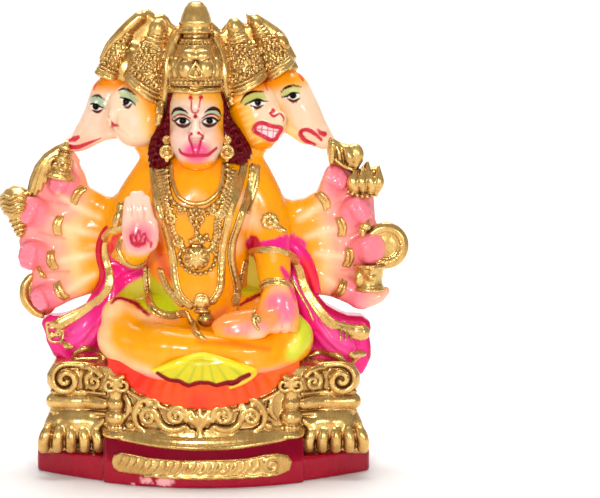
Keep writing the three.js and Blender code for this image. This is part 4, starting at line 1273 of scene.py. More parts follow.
def apron(clay):
    """The carved front between the posts: a palmette, scrolls on either side, a moulding."""
    clay.press([board(THRONE_LENGTH - LEG_LENGTH, APRON_SETBACK, 22, 60, rounding=1)])

    def on_face(points, proud):
        points = np.array(points, float)
        return np.column_stack([points[:, 0], bow(points[:, 0]) + APRON_SETBACK - proud, points[:, 1]])

    def carve(points, proud, radius, blend, steps=4):
        clay.press(cord(on_face(points, proud), radius, steps), blend)

    middle = -2.0
    for hand in (-1, 1):
        def mirrored(points):
            return [(middle + hand * u, v) for u, v in points]

        # inner scroll with the tail that sweeps out under the second one
        inner = spiral((0, 0), 5.6, 1.6, 200, -1, 0.12, 30)
        line = [(11.8 + u, 36.6 + v) for u, v in inner]
        carve(mirrored(line), 1.5, (2.0, 1.2), 0.8, 1)
        sweep = [(4.4, 27.4), (7.2, 30.8), (11, 29.4), (16.2, 29.2), (20, 31.8), (21.6, 35.6)]
        carve(mirrored(sweep), 1.2, (1.0, 1.8, 2.2, 1.6), 0.8)
        outer = spiral((0, 0), 5.0, 1.5, 190, -1, 0.12, 26)
        line = [(26.6 + u, 35.4 + v) for u, v in outer]
        carve(mirrored(line), 1.4, (1.9, 1.1), 0.8, 1)
        leaf = [(20.6, 41.6), (23.6, 44.8), (28.4, 44.6), (32.2, 41.2), (33.8, 36.2), (32.6, 30.8), (29, 28)]
        carve(mirrored(leaf), 1.1, (0.9, 1.6, 1.9, 1.2), 0.8)
        for k in range(4):
            angle = math.radians(20 + 34 * k)
            tip = (26.6 + 9.5 * math.cos(angle), 36 + 9 * math.sin(angle))
            base = (26.6 + 5.5 * math.cos(angle), 36 + 5 * math.sin(angle))
            carve(mirrored([base, tip]), 0.9, (1.4, 0.7), 0.7)
        crescent = [(38.6, 46), (36.8, 41.6), (37.4, 36.6), (40.2, 33)]
        carve(mirrored(crescent), 1.2, (0.8, 1.9, 0.8), 0.6)
        clay.press([egg(on_face(mirrored([(36, 30)]), 1)[0], (2.2, 1.8, 2.2))], 0.7)
        for k in range(3):
            u = 3.6 + 3.4 * k
            carve(mirrored([(u * 0.5, 25.8), (u, 28.6 - 0.4 * k)]), 0.9, (0.9, 1.4), 0.5)
        end = spiral((57.6, 51.6), 4.4, 1.4, 70, -1, 0.15, 24)
        carve([(hand * u, v) for u, v in end], 1.4, (1.7, 1.0), 0.8, 1)
        lead = [(64.6, 57.6), (61, 58.6), (57, 58), (53.4, 55)]
        carve([(hand * u, v) for u, v in lead], 0.8, (1.0, 1.7, 1.5), 0.8)
        carve([(hand * 51.6, 40.2), (hand * 58, 40.6), (hand * 65.5, 40.2)], 0.2, (3.0, 3.8, 3.6), 0.8)
        for height, shift in ((45.6, 0.6), (34.8, 0.8)):
            carve([(hand * 51.6, height), (hand * 58, height), (hand * 65.5, height)], shift, 1.0, 0.6)
        leaf = [(52.4, 31.6), (55.6, 28.4), (60, 27.4), (64, 30)]
        carve([(hand * u, v) for u, v in leaf], 0.8, (1.2, 2.4, 2.0, 1.0), 1.0)
        clay.press([egg(on_face([(hand * 57, 24.6)], 0.6)[0], (3.2, 2.2, 2.0))], 1)
    for k in range(-2, 3):
        angle = math.radians(24 * k)
        tip = (middle + 11.5 * math.sin(angle), 30.5 + 9.6 * math.cos(angle))
        waist = (middle + 4 * math.sin(angle * 1.2), 30.5 + 5 * math.cos(angle))
        carve([(middle, 29.5), waist, tip], 1.6, (0.9, 2.0, 1.2), 0.5)
    carve([(middle, 24.6), (middle, 30)], 1.5, (2.2, 1.4), 0.5)
    across = np.linspace(-51, 51, 60)
    sag = 1 - (across / 51) ** 2
    for height, proud, radius, drop in ((24.8, 2.4, 1.8, 4.6), (25.4, 1.6, 2.0, 2.4), (25.8, 1.2, 1.6, 0),
                                        (28.4, 0.2, 0.8, 0.6)):
        line = np.column_stack([across, height - drop * sag])
        clay.press(cord(on_face(line, 0) - np.outer(proud + 0.55 * drop * sag, [0, 1, 0]), radius, 1), 1.2)
    top = np.linspace(-46, 46, 40)
    hem = hem_height(top, 20.6, 52)
    carve(np.column_stack([top, hem - 1.6]), 1.2, 1.1, 0.8, 1)


def throne():
    clay = Clay((-94, -50, 9), (94, 38, 66), 0.5)
    apron(clay)
    for hand in (-1, 1):
        lion_leg(clay, hand)
        scroll_post(clay, hand)
    return clay


# Heads

def middle_face():
    """The monkey face: broad brow, deep eyes, a short nose over a swelling muzzle."""
    clay = Clay((-24, -42, 98), (17, 6, 152), 0.42)
    clay.press([egg((HEAD_X, -9, 132), (15.2, 17.5, 21))])
    clay.press([egg((HEAD_X, -11, 118), (15, 15.5, 13.5))], 6)
    clay.press([egg((HEAD_X, -24, 113.4), (11.6, 12.2, 8.4))], 5)
    clay.press([egg((HEAD_X, -22, 107.6), (8.6, 9.4, 4.6))], 4)
    for hand in (-1, 1):
        x = HEAD_X + hand * 7
        clay.cut([egg((x, -31.5, 128.6), (4.8, 5.2, 3.6))], 2.5)
        clay.press([egg((x, -22.6, 128.4), (4.2, 3.6, 2.8))], 1.2)
        brow = [[HEAD_X + hand * 2.6, -26.6, 131.8, 1.1], [x, -25.8, 133.6, 1.5],
                [x + hand * 5.4, -22.0, 131.8, 1.0]]
        clay.press(limb(brow), 2.5)
        clay.press([egg((HEAD_X + hand * 8.4, -22.5, 119.4), (5, 5, 5))], 5)
        clay.press([egg((HEAD_X + hand * 1.9, -33.2, 122.2), (1.7, 2.0, 1.4))], 1.6)
    clay.press(limb([[HEAD_X - 0.4, -25.4, 131, 1.8], [HEAD_X - 0.6, -30.6, 125.6, 2.2],
                     [HEAD_X - 0.6, -33, 122.6, 2.2]]), 3)
    mouth = [(-12.5, 114.1), (-11.2, 112.2), (-7.3, 111.2), (-3.4, 111.4), (1.6, 111.3), (4.0, 112.6),
             (6.7, 114.6)]
    clay.cut(cord(laid([clay], mouth, 0.1), (0.25, 0.6, 0.25), 1), 0.5)
    return clay


def middle_face_colours(points, normals):
    coat = Coat(points, normals, (246, 212, 190))
    x, z = points[:, 0], points[:, 2]
    dark, red = (84, 30, 14), (206, 24, 56)
    coat.mix((255, 176, 30), fade(x, 3, 9.5) * fade(z, 112, 122))
    coat.mix((255, 168, 30), 0.9 * fade(np.abs(x + 3.5), 11.5, 15.5))
    coat.mix((255, 194, 90), 0.8 * fade(z, 136, 142))
    coat.mix((255, 176, 30), 0.9 * fade(z, 134, 142) * fade(x, -4, 4))
    coat.mix((255, 158, 12), fade(z, 109.5, 106.4))
    coat.spray((240, 84, 140), (-3.6, -36, 112.6), 3, 10, 1.0, squash=(1.25, 1, 0.9))
    coat.spray((238, 150, 160), (-12.4, -24, 119), 1, 8, 0.4)
    coat.spray((238, 150, 160), (5.4, -24, 119), 1, 8, 0.4)
    for hand in (-1, 1):
        cx = HEAD_X + hand * 6.95 - 0.3
        cz = 128.4 + (0.2 if hand > 0 else 0)

        def mirrored(line):
            return [(cx + hand * u, cz + v) for u, v in line]

        coat.patch((158, 190, 158), mirrored([(-3.4, 3.4), (0.5, 5.2), (4.6, 4.4), (6.2, 2.2), (3.6, 3.0),
                                              (-0.6, 3.2)]), 0.5, 0.95)
        coat.stroke((152, 60, 56), mirrored([(-3.9, 1.3), (-0.8, 3.1), (2.4, 3.2), (5.0, 1.5)]),
                    (0.6, 1.3, 0.6))
        coat.patch((252, 246, 238), mirrored([(-3.6, -0.2), (-1.6, 0.8), (1.6, 0.8), (4, -0.6), (1, -2.0),
                                              (-1.8, -1.7)]), 0.25)
        coat.stroke(dark, mirrored([(-3.9, -0.9), (-2.4, -2.1), (-0.2, -2.7), (2.2, -2.1), (4.0, -0.7)]),
                    (0.8, 1.7, 2.0, 1.7, 0.8))
        coat.dot(BLACK, (cx, cz - 0.1), 1.9, 0.85)
        coat.stroke(BLACK, mirrored([(-3.7, -0.2), (-1.6, 1.2), (1.8, 1.4), (4.6, -0.4), (5.9, 0.9)]),
                    (0.6, 1.2, 1.1, 0.5))
        coat.stroke(BLACK, mirrored([(-2.8, 4.1), (-0.6, 5.6), (2.0, 6.2), (4.6, 5.2), (6.0, 2.6)]),
                    (0.4, 1.4, 2.0, 1.3, 0.5))
        nose = [(-6.3, 122.3), (-7.7, 120.1), (-6.3, 117.1), (-4.9, 112.2)]
        if hand > 0:
            nose = [(-2.5, 122.8), (-0.4, 121.0), (-1.6, 117.6), (-3.0, 112.4)]
        coat.stroke((212, 28, 84), nose, (1.0, 1.3, 1.2))
        coat.dot((206, 28, 76), nose[0], 0.9)
    coat.stroke(red, [(-6.3, 139.7), (-6.1, 133.8), (-3.9, 132.7), (-2.6, 134.3), (-1.6, 139.7)], 0.8)
    coat.dot(red, (-6.7, 140.4), 1.3)
    coat.dot(red, (-1.3, 140.6), 1.2)
    coat.dot((176, 16, 46), (-4.2, 130.9), 1.1)
    coat.stroke((196, 30, 60), [(-12.5, 114.1), (-11.2, 112.2), (-7.3, 111.2), (-3.4, 111.4), (1.6, 111.3),
                                (4.0, 112.6), (6.7, 114.6)], (1.0, 1.9, 2.2, 1.9, 1.4))
    return coat.colours


def eagle_face():
    """Inner face on the viewer's left: round cheeks and a short hooked beak."""
    clay = Clay((-56, -28, 104), (-16, 14, 156), 0.42)
    clay.press([egg((-36, -4, 132), (13.5, 13, 17))])
    clay.press([egg((-42.5, -9, 134), (8, 8.5, 9))], 5)
    clay.press([egg((-36, -9, 122.5), (9.8, 9, 9))], 5)
    clay.press([egg((-29, -8, 128), (8, 8, 12))], 5)
    clay.press(limb([[-45, -14, 132.5, 3.4], [-47.6, -17.6, 128.6, 2.9], [-47.4, -19, 125.6, 1.3]]), 2.5)
    clay.cut(cord(laid([clay], [(-50, 131), (-46, 123.6), (-42.4, 121.4), (-39.5, 119.5)], 0.2),
                  (0.3, 0.8, 0.3), 1), 1)
    clay.cut([egg((-41.5, -22, 137.5), (4.6, 4.6, 3.2))], 2)
    clay.press([egg((-40.5, -15, 137.6), (3.6, 2.6, 2.4), lean=-20)], 1.2)
    return clay


def eye(coat, points, brow, shadow, tint):
    """A painted eye from its upper lid, iris and lower lid, with its tinted shadow and its brow."""
    upper, iris, lower = points
    coat.patch(tint, shadow, 0.8, 0.95)
    coat.patch((252, 244, 230), [*upper, *lower[::-1]], BRUSH_EDGE)
    coat.stroke((96, 30, 12), lower, (0.8, 1.5, 1.7, 1.5, 0.8))
    coat.dot(BLACK, iris, 1.8)
    coat.stroke(BLACK, upper, (0.7, 1.3, 1.1, 0.5))
    coat.stroke(BLACK, brow, (0.5, 1.5, 0.6))


def eagle_colours(points, normals):
    coat = Coat(points, normals, (246, 214, 184))
    x, z = points[:, 0], points[:, 2]
    coat.mix((255, 196, 90), 0.8 * fade(x + 0.25 * (z - 130), -37, -30))
    coat.mix((255, 158, 0), fade(x + 0.25 * (z - 130), -32, -26))
    coat.mix((255, 150, 10), fade(z + 0.4 * (x + 40), 141.5, 147.5))
    coat.mix((255, 150, 10), fade(z, 118, 110) * fade(x, -42, -36))
    coat.stroke((240, 90, 20), [(-46.2, 148.6), (-47.0, 145.6)], (1.6, 0.6))
    eye(coat, [[(-43.5, 140.1), (-40.8, 139.5), (-37.8, 138.3), (-35.1, 136.0)], (-40.4, 138.0),
               [(-42.0, 136.5), (-39.6, 135.0), (-37.5, 136.8)]],
        [(-44.7, 143.4), (-42.3, 144.4), (-39.0, 143.7), (-35.7, 141.3)],
        [(-44.6, 142.8), (-42.3, 143.8), (-39.0, 143.2), (-35.8, 140.6), (-33.2, 138.0), (-36.2, 137.6),
         (-40.4, 139.6), (-43.4, 140.6)], (176, 196, 150))
    coat.patch((206, 34, 56), [(-48.2, 128.4), (-44.0, 124.9), (-48.2, 124.4)], 0.3)
    return coat.colours


def boar_face():
    """Outer face on the viewer's left: a long snout down to the hand beside it."""
    clay = Clay((-78, -18, 104), (-30, 18, 158), 0.45)
    clay.press(limb([[-42, 4, 134, 11], [-48.5, 2, 140.5, 11], [-53.5, 0, 130.5, 9.8], [-60, -1, 121.5, 7.9],
                     [-66, -1.5, 116, 5.4], [-69.2, -2, 114.9, 3.7]], 5))
    clay.press([egg((-70.4, -2.4, 116.4), (2.6, 4.2, 2.4))], 1.5)
    clay.press([egg((-57, -8, 135), (3.4, 3, 2.6))], 2)
    clay.press(limb([[-55, -5, 118.4, 2.2], [-62, -5, 114.6, 2.0], [-68.5, -4, 112.9, 1.4]]), 2)
    clay.press(limb([[-56, -3, 119.2, 3.4], [-49.4, -2, 120.8, 3.8], [-43.3, -2, 121.6, 3.8]]), 2)
    clay.cut(cord(laid([clay], [(-71.6, 113.7), (-66.9, 113.3), (-60.8, 115.5), (-54.1, 118.2)], 0.1),
                  (0.7, 0.6, 0.25), 1), 0.6)
    return clay


def boar_colours(points, normals):
    coat = Coat(points, normals, (244, 208, 182))
    z = points[:, 2]
    coat.mix((255, 150, 0), fade(z, 139.5, 147))
    coat.stroke((236, 84, 20), [(-56.8, 147.8), (-57.9, 143.6)], (2.0, 0.7))
    coat.spray((240, 150, 130), (-62, -8, 113), 1, 9, 0.4)
    eye(coat, [[(-59.4, 136.3), (-57.5, 136.4), (-54.7, 135.1), (-51.4, 133.6)], (-56.6, 135.0),
               [(-58.4, 133.0), (-55.7, 132.1), (-53.2, 133.3)]],
        [(-58.9, 139.9), (-56.8, 140.7), (-54.4, 140.2), (-52.3, 138.7)],
        [(-59.6, 139.2), (-56.8, 140.2), (-54.2, 139.6), (-52.0, 137.6), (-51.8, 134.6), (-53.6, 134.6),
         (-56, 136.4), (-59.4, 137)], (164, 192, 158))
    coat.stroke((206, 34, 60), [(-70.4, 116.9), (-68.4, 117.6), (-66.2, 118.8)], (2.0, 3.0, 2.0))
    coat.stroke((206, 34, 60), [(-71.2, 113.7), (-66.9, 113.3), (-60.8, 115.5), (-54.1, 118.2)],
                (2.4, 2.6, 1.8, 0.5))
    return coat.colours


def lion_face():
    """Inner face on the viewer's right: an open, toothed mouth and tufts of mane."""
    clay = Clay((6, -30, 100), (50, 16, 156), 0.42)
    clay.press([egg((27, -4, 132), (14, 13.5, 17))])
    clay.press([egg((31, -9, 122), (11, 10, 10))], 5)
    clay.press([egg((36, -12, 127), (7.5, 8, 7))], 4)
    clay.press([egg((39, -17, 129.4), (4.2, 4, 3.6))], 3)
    clay.press([egg((33.5, -14, 122.4), (8, 6, 6), lean=-15)], 3)
    clay.cut([egg((30, -21, 138), (4.8, 4.6, 3.2))], 2)
    clay.press([egg((28.8, -14.4, 137.4), (3.8, 2.8, 2.5), lean=14)], 1.2)
    clay.cut([egg((45, -10, 112.8), (8.4, 12, 7.0))], 1.5)
    lips = [(26.0, 123.5), (27.2, 126.4), (30.8, 127.6), (35.6, 125.8), (41.0, 124.6), (39.2, 120.5),
            (38.0, 118.1), (35.0, 117.5), (30.8, 119.9), (27.2, 121.7), (26.0, 123.5)]
    clay.press(cord(laid([clay], lips, -0.2, 3), 1.0, 1), 0.8)
    for k in range(8):
        z = 138.4 - 3.2 * k
        x = 14.2 + 1.3 * k
        clay.press(limb([[x + 6, -13, z + 2.0, 1.7], [x + 2, -12, z, 1.9], [x - 1.2, -9, z - 2.6, 0.8]]), 0.6)
    return clay


def lion_colours(points, normals):
    coat = Coat(points, normals, (248, 214, 180))
    x, z = points[:, 0], points[:, 2]
    coat.mix((255, 196, 84), 0.85 * fade(x - 0.28 * (128 - z), 31, 24))
    coat.mix((255, 160, 0), fade(x - 0.28 * (128 - z), 25, 19))
    coat.mix((255, 156, 0), fade(z - 0.3 * (x - 30), 140, 146))
    coat.mix((255, 150, 0), fade(z, 121, 115.5))
    # painted highlights: a pale yellow stroke on each tuft of the mane
    for k in range(8):
        tuft_highlight = [(21 + 1.3 * k, 140 - 3.2 * k), (16.6 + 1.3 * k, 138 - 3.2 * k)]
        coat.stroke((255, 212, 110), tuft_highlight, (1.4, 0.6), soft=0.5)
    coat.stroke((226, 76, 18), [(30.0, 149.5), (32.4, 146.4), (33.6, 143.5)], (0.9, 0.9, 0.4))
    eye(coat, [[(21.5, 136.2), (24.5, 137.7), (28.4, 139.2), (31.1, 138.3), (33.5, 138.0)], (28.4, 137.5),
               [(24.8, 135.9), (27.8, 134.7), (31.1, 135.9)]],
        [(19.4, 137.1), (21.5, 140.7), (26.0, 143.0), (31.4, 143.0)],
        [(20.0, 136.8), (21.6, 140.0), (25.8, 142.3), (31.2, 142.4), (33.2, 139.6), (31, 138.6),
         (28.4, 139.4), (24.8, 137.8), (21.8, 136.2)], (200, 206, 110))
    red = (204, 28, 58)
    coat.stroke(red, [(36.4, 133.2), (34.9, 132.0), (36.7, 130.5), (39.7, 132.0), (41.8, 129.6),
                      (41.5, 127.8)],
                (1.5, 1.2, 0.6))
    coat.dot(red, (36.3, 133.2), 1.3)
    lips = [(26.4, 123.5), (27.6, 126.0), (30.8, 127.0), (35.6, 125.4), (40.6, 124.2), (38.8, 120.5),
            (37.6, 118.5), (35.0, 118.1), (31.0, 120.3), (27.6, 122.0)]
    coat.patch((250, 216, 220), lips, 0.3)
    coat.stroke(red, [*lips, lips[0]], 2.3)
    coat.stroke(red, [(27.4, 123.8), (32.6, 123.4), (39.4, 122.4)], 0.5)
    for top, foot_end in (((30.6, 126.4), (30.2, 121.0)), ((33.6, 125.6), (33.4, 119.4)),
                          ((36.6, 124.8), (36.2, 118.8))):
        coat.stroke(red, [top, foot_end], 0.4)
    return coat.colours


def horse_face():
    """Outer face on the viewer's right: a long nose with a slanting mouth."""
    clay = Clay((26, -18, 104), (76, 18, 162), 0.45)
    clay.press(limb([[36, 4, 136, 11], [43.5, 2, 143, 11.5], [49.5, 0, 134.5, 11.2], [56.2, -1, 125, 8.8],
                     [62.3, -1.5, 118.4, 6.2], [66.2, -2, 115.9, 3.9]], 5))
    clay.press(limb([[42.3, -2, 125.4, 3.6], [48.4, -2, 121.8, 3.8], [53.9, -2.5, 118.4, 4]]), 2)
    clay.press([egg((46.6, -9.6, 141), (3.4, 2.6, 2.4))], 2)
    clay.press([egg((61.6, -6, 121.4), (3.6, 2.6, 2.6), lean=40)], 2)
    clay.cut(cord(laid([clay], [(58.6, 120.6), (54.9, 122.7), (51.9, 122.1), (51.3, 120.0), (53.7, 117.0)],
                       0.1), 0.4, 1), 0.5)
    return clay


def horse_colours(points, normals):
    coat = Coat(points, normals, (248, 212, 180))
    x, z = points[:, 0], points[:, 2]
    coat.mix((255, 214, 130), 0.8 * fade(x + 0.6 * (z - 136), 44, 38))
    coat.mix((255, 160, 0), fade(z - 0.2 * (x - 45), 140.5, 148.5))
    coat.stroke((226, 76, 18), [(49.1, 154.7), (52.5, 148.8)], (2.2, 1.4))
    eye(coat, [[(41.3, 139.9), (43.8, 140.5), (46.8, 142.3), (50.4, 142.0)], (47.0, 140.9),
               [(44.4, 139.0), (47.4, 137.8), (50.4, 139.3)]],
        [(40.4, 141.4), (42.5, 144.4), (46.7, 145.9), (51.3, 145.3)],
        [(40.2, 140.6), (42.4, 143.8), (46.6, 145.4), (51.0, 144.8), (50.6, 142.4), (46.8, 142.6),
         (43.8, 140.9)],
        (196, 204, 116))
    red = (204, 30, 60)
    coat.stroke(red, [(60.1, 123.3), (61.6, 121.2), (63.7, 120.3)], (1.0, 2.4, 3.0))
    coat.stroke(red, [(62.2, 117.3), (58.6, 120.6), (54.9, 122.7), (51.9, 122.1), (51.3, 120.0),
                      (53.7, 117.0), (58.6, 114.5)], (1.8, 2.5, 2.1, 2.6, 2.2))
    return coat.colours


def hair():
    """Maroon curls on both sides of the middle face, down to the shoulders."""
    clay = Clay((-36, -26, 96), (32, 8, 148), 0.45)
    left = [[-17, -13, 141, 1.6], [-17.6, -13, 134, 1.8], [-19.4, -13, 127, 2.6], [-22.6, -13, 119.6, 4.2],
            [-24, -13, 112.4, 4.4], [-24, -14, 106, 3.8]]
    right = [[9, -13, 142, 1.6], [10.4, -13, 134, 2.2], [12.6, -13, 127, 3.2], [16.4, -13, 119.6, 4.6],
             [19.6, -13, 113, 4.8], [18.6, -14, 108.4, 3.8]]
    for stations, hand in ((left, -1), (right, 1)):
        clay.press(limb(stations), 1)
        clay.press(limb([[x - hand * 0.9 * r, y - 0.4 * r, z, 0.8 * r] for x, y, z, r in stations]), 0.6)
        clay.press(limb([[x - hand * 1.2, y + 6, z, r + 1.8] for x, y, z, r in stations]), 1)
        line = path(stations, 8)
        last = len(line) - 1
        for k in range(9):
            x, y, z, r = line[min(int(k / 8 * last) + 2, last)]
            lock = spiral((0, 0), 0.68 * r, 0.9, 200 + 50 * k, hand, 0.3, 9)
            points = [[x + hand * 0.1 * r * (k % 3) + u, y - r - 0.1, z + w, 0.24 * r] for u, w in lock]
            clay.press(limb(points, 2), 0.4)
        for k in range(12):
            x, y, z, r = line[min(int(k / 11 * last), last)]
            curl = [[x + hand * r * 0.4, y - 0.6 * r, z + 1.4, 0.42 * r],
                    [x + hand * r * 0.8, y - 0.4 * r, z - 0.4, 0.34 * r],
                    [x + hand * (r + 0.2), y - 0.2 * r, z - 2.2, 0.2 * r]]
            clay.press(limb(curl, 3), 0.5)
    return clay


def hair_colours(points, normals):
    coat = Coat(points, normals, (96, 0, 12))
    # painted shade and highlights: near-black and lighter maroon in waves over the curls
    wave = np.sin(points[:, 2] * 1.9 + points[:, 0] * 1.3) * np.sin(points[:, 0] * 2.1)
    coat.mix((44, 2, 6), 0.7 * fade(wave, 0.0, 0.8))
    coat.mix((150, 10, 26), 0.4 * fade(wave, -0.4, -0.95))
    return coat.colours


# Gold: crowns, jewellery and what the hands hold

def wrapped(profile, centre, lean=0.0, nod=0.0, size=1.0):
    """Gives places on a turned form, by the angle from its front and the height on its profile."""
    profile = np.array(profile, float) * size
    turn = turning(lean, nod)

    def place(angle, height, proud=0.0):
        angle, height = np.broadcast_arrays(np.radians(angle), np.array(height, float) * size)
        radius = np.interp(height, profile[:, 1], profile[:, 0]) + proud
        own = np.stack([radius * np.sin(angle), -radius * np.cos(angle), height], axis=-1)
        return own @ turn.T + np.array(centre, float)

    return place


def rosette(centre, radius, petals=8):
    """A small flower of round petals about a boss, facing the front."""
    x, y, z = centre
    forms = [egg((x, y - 0.25 * radius, z), radius * 0.42)]
    for angle in np.arange(petals) * 2 * math.pi / petals:
        place = (x + radius * 0.72 * math.cos(angle), y, z + radius * 0.72 * math.sin(angle))
        forms.append(egg(place, radius * 0.33))
    return forms


CROWN = [[0, -1.3], [0.9, -1.25], [1.0, -0.3], [1.04, 0.1], [0.98, 0.5], [0.9, 1.0], [0.74, 1.6], [0.52, 2.1],
         [0.45, 2.3], [0.38, 2.5], [0.4, 2.6], [0.42, 2.8], [0.34, 3.1], [0.18, 3.28], [0, 3.3]]


def side_crown(centre, size, lean, nod=0.0, slope=0.0, dip=0.0, tall=1.0):
    """A tall crown: rolled rim, double line, a granular wall, tiers and a round knob.

    The rim rises by slope to the right, and dips towards the front, in crown radii."""
    centre = np.array(centre, float)
    profile = [[r, h * tall] for r, h in CROWN]
    turn = turning(lean, nod)
    tip = centre + turn @ np.array([0, 0, 3.3 * tall * size])
    reach = 1.5 * size
    clay = Clay(np.minimum(centre, tip) - reach, np.maximum(centre, tip) + reach, 0.4)
    clay.press([turned(profile, centre, lean, nod, size)])
    at = wrapped(profile, centre, lean, nod, size)
    whole = np.arange(-120, 121, 10)

    def rim(angle, height):
        """A height over the rim, which fades into the level rings of the crown's top."""
        angle = np.radians(angle)
        share = np.clip(1 - (height + 0.2) / 2.2, 0, 1)
        return height * tall + share * (slope * np.sin(angle) - dip * np.cos(angle))

    x, y, z = clay.window(clay.low, clay.low + clay.grain * clay.count, 0)[2]
    u, v, w = unturned(x, y, z, centre, turn)
    clay.field = np.maximum(clay.field, -0.26 * size + slope * u + dip * v - w)
    for height, proud, radius in ((-0.14, 0.1, 1.3), (0.06, 0.4, 0.8), (0.24, 0.4, 0.7)):
        clay.press(cord(at(whole, rim(whole, height), proud), radius, 1), 0.4)
    for height, proud, radius in ((2.1, 0.1, 0.9), (2.3, 0.2, 1.0), (2.5, 0.1, 0.9)):
        clay.press(cord(at(whole, height * tall, proud), radius, 1), 0.5)
    row = np.arange(-108, 109, math.degrees(2.4 / size))
    clay.press([egg(p, 1.05) for p in at(row, rim(row, 0.44), 0.4)], 0.2)
    rng = np.random.default_rng(11)
    for height in np.arange(0.5 + 0.8 / size, 2.0, 2.2 / size / tall):
        girth = size * np.interp(height, [h for _, h in CROWN], [r for r, _ in CROWN])
        step = math.degrees(2.45 / girth)
        for angle in np.arange(-110 + rng.uniform(0, step), 110, step):
            turned_by, raised = angle + rng.uniform(-0.3, 0.3) * step, height + rng.uniform(-0.5, 0.5) / size
            radius = rng.uniform(0.9, 1.35)
            grain = at(turned_by, rim(turned_by, raised), 0.3)
            if rng.uniform() < 0.2:
                further = turned_by + rng.uniform(-0.9, 0.9) * step
                clay.press(limb([[*grain, 0.6], [*at(further, rim(further, raised + 1.3 / size), 0.25), 0.5]],
                                1), 0.3)
            else:
                clay.press([egg(grain, radius)], 0.3)
    clay.press([egg(centre + turn @ np.array([0, 0, 2.84 * tall * size]), 0.4 * size)], 1)
    return clay


BACK_PLATES = [
    [(-56.4, 151.4), (-55.4, 154.9), (-54.6, 157.9), (-54.4, 161), (-50.8, 167), (-45.8, 172.5),
     (-40.9, 176.8), (-38.4, 180.8), (-34.2, 185), (-29.8, 186.3), (-26.7, 184.2), (-25.4, 182.8),
     (-21.3, 183.6), (-18.6, 181.6), (-16.8, 178.5), (-13.6, 176.3), (-11, 172), (-8, 150), (-12, 140),
     (-22, 138), (-38, 144), (-46, 147)],
    [(3.7, 180), (5.8, 178.1), (9.3, 174.8), (10, 176), (13.7, 180.5), (18.5, 180.8), (21.2, 178.4),
     (23.2, 178), (22.3, 183.6), (27.6, 183.7), (33.9, 180), (39.4, 176.3), (43.7, 172.6), (46.1, 167),
     (49.5, 160.4), (47.9, 159), (50.4, 155), (44, 150), (30, 143), (12, 140), (0, 142), (0, 172)],
]


def crown_backs():
    """The smooth gold behind the side crowns, which joins them at the back."""
    clay = Clay((-62, -14, 134), (56, 20, 190), 0.5)
    for outline in BACK_PLATES:
        clay.press([slab(outline, 0, 9, 3)])
    clay.press([egg((-41, 5, 153), (13, 9.6, 15), lean=30), egg((35, 5, 155), (13, 9.6, 15), lean=-28)], 4)
    ridge = [[-53.6, 0, 160, 1.6], [-49.6, -0.6, 166.6, 2.4], [-44.4, -1, 172, 3.0], [-38.6, -1, 177.4, 3.4],
             [-34, -1, 181.6, 3.2]]
    clay.press(limb(ridge), 2)
    clay.press([egg((41.4, -1.6, 168.4), (3.6, 3.4, 5), lean=-30)], 2)
    return clay


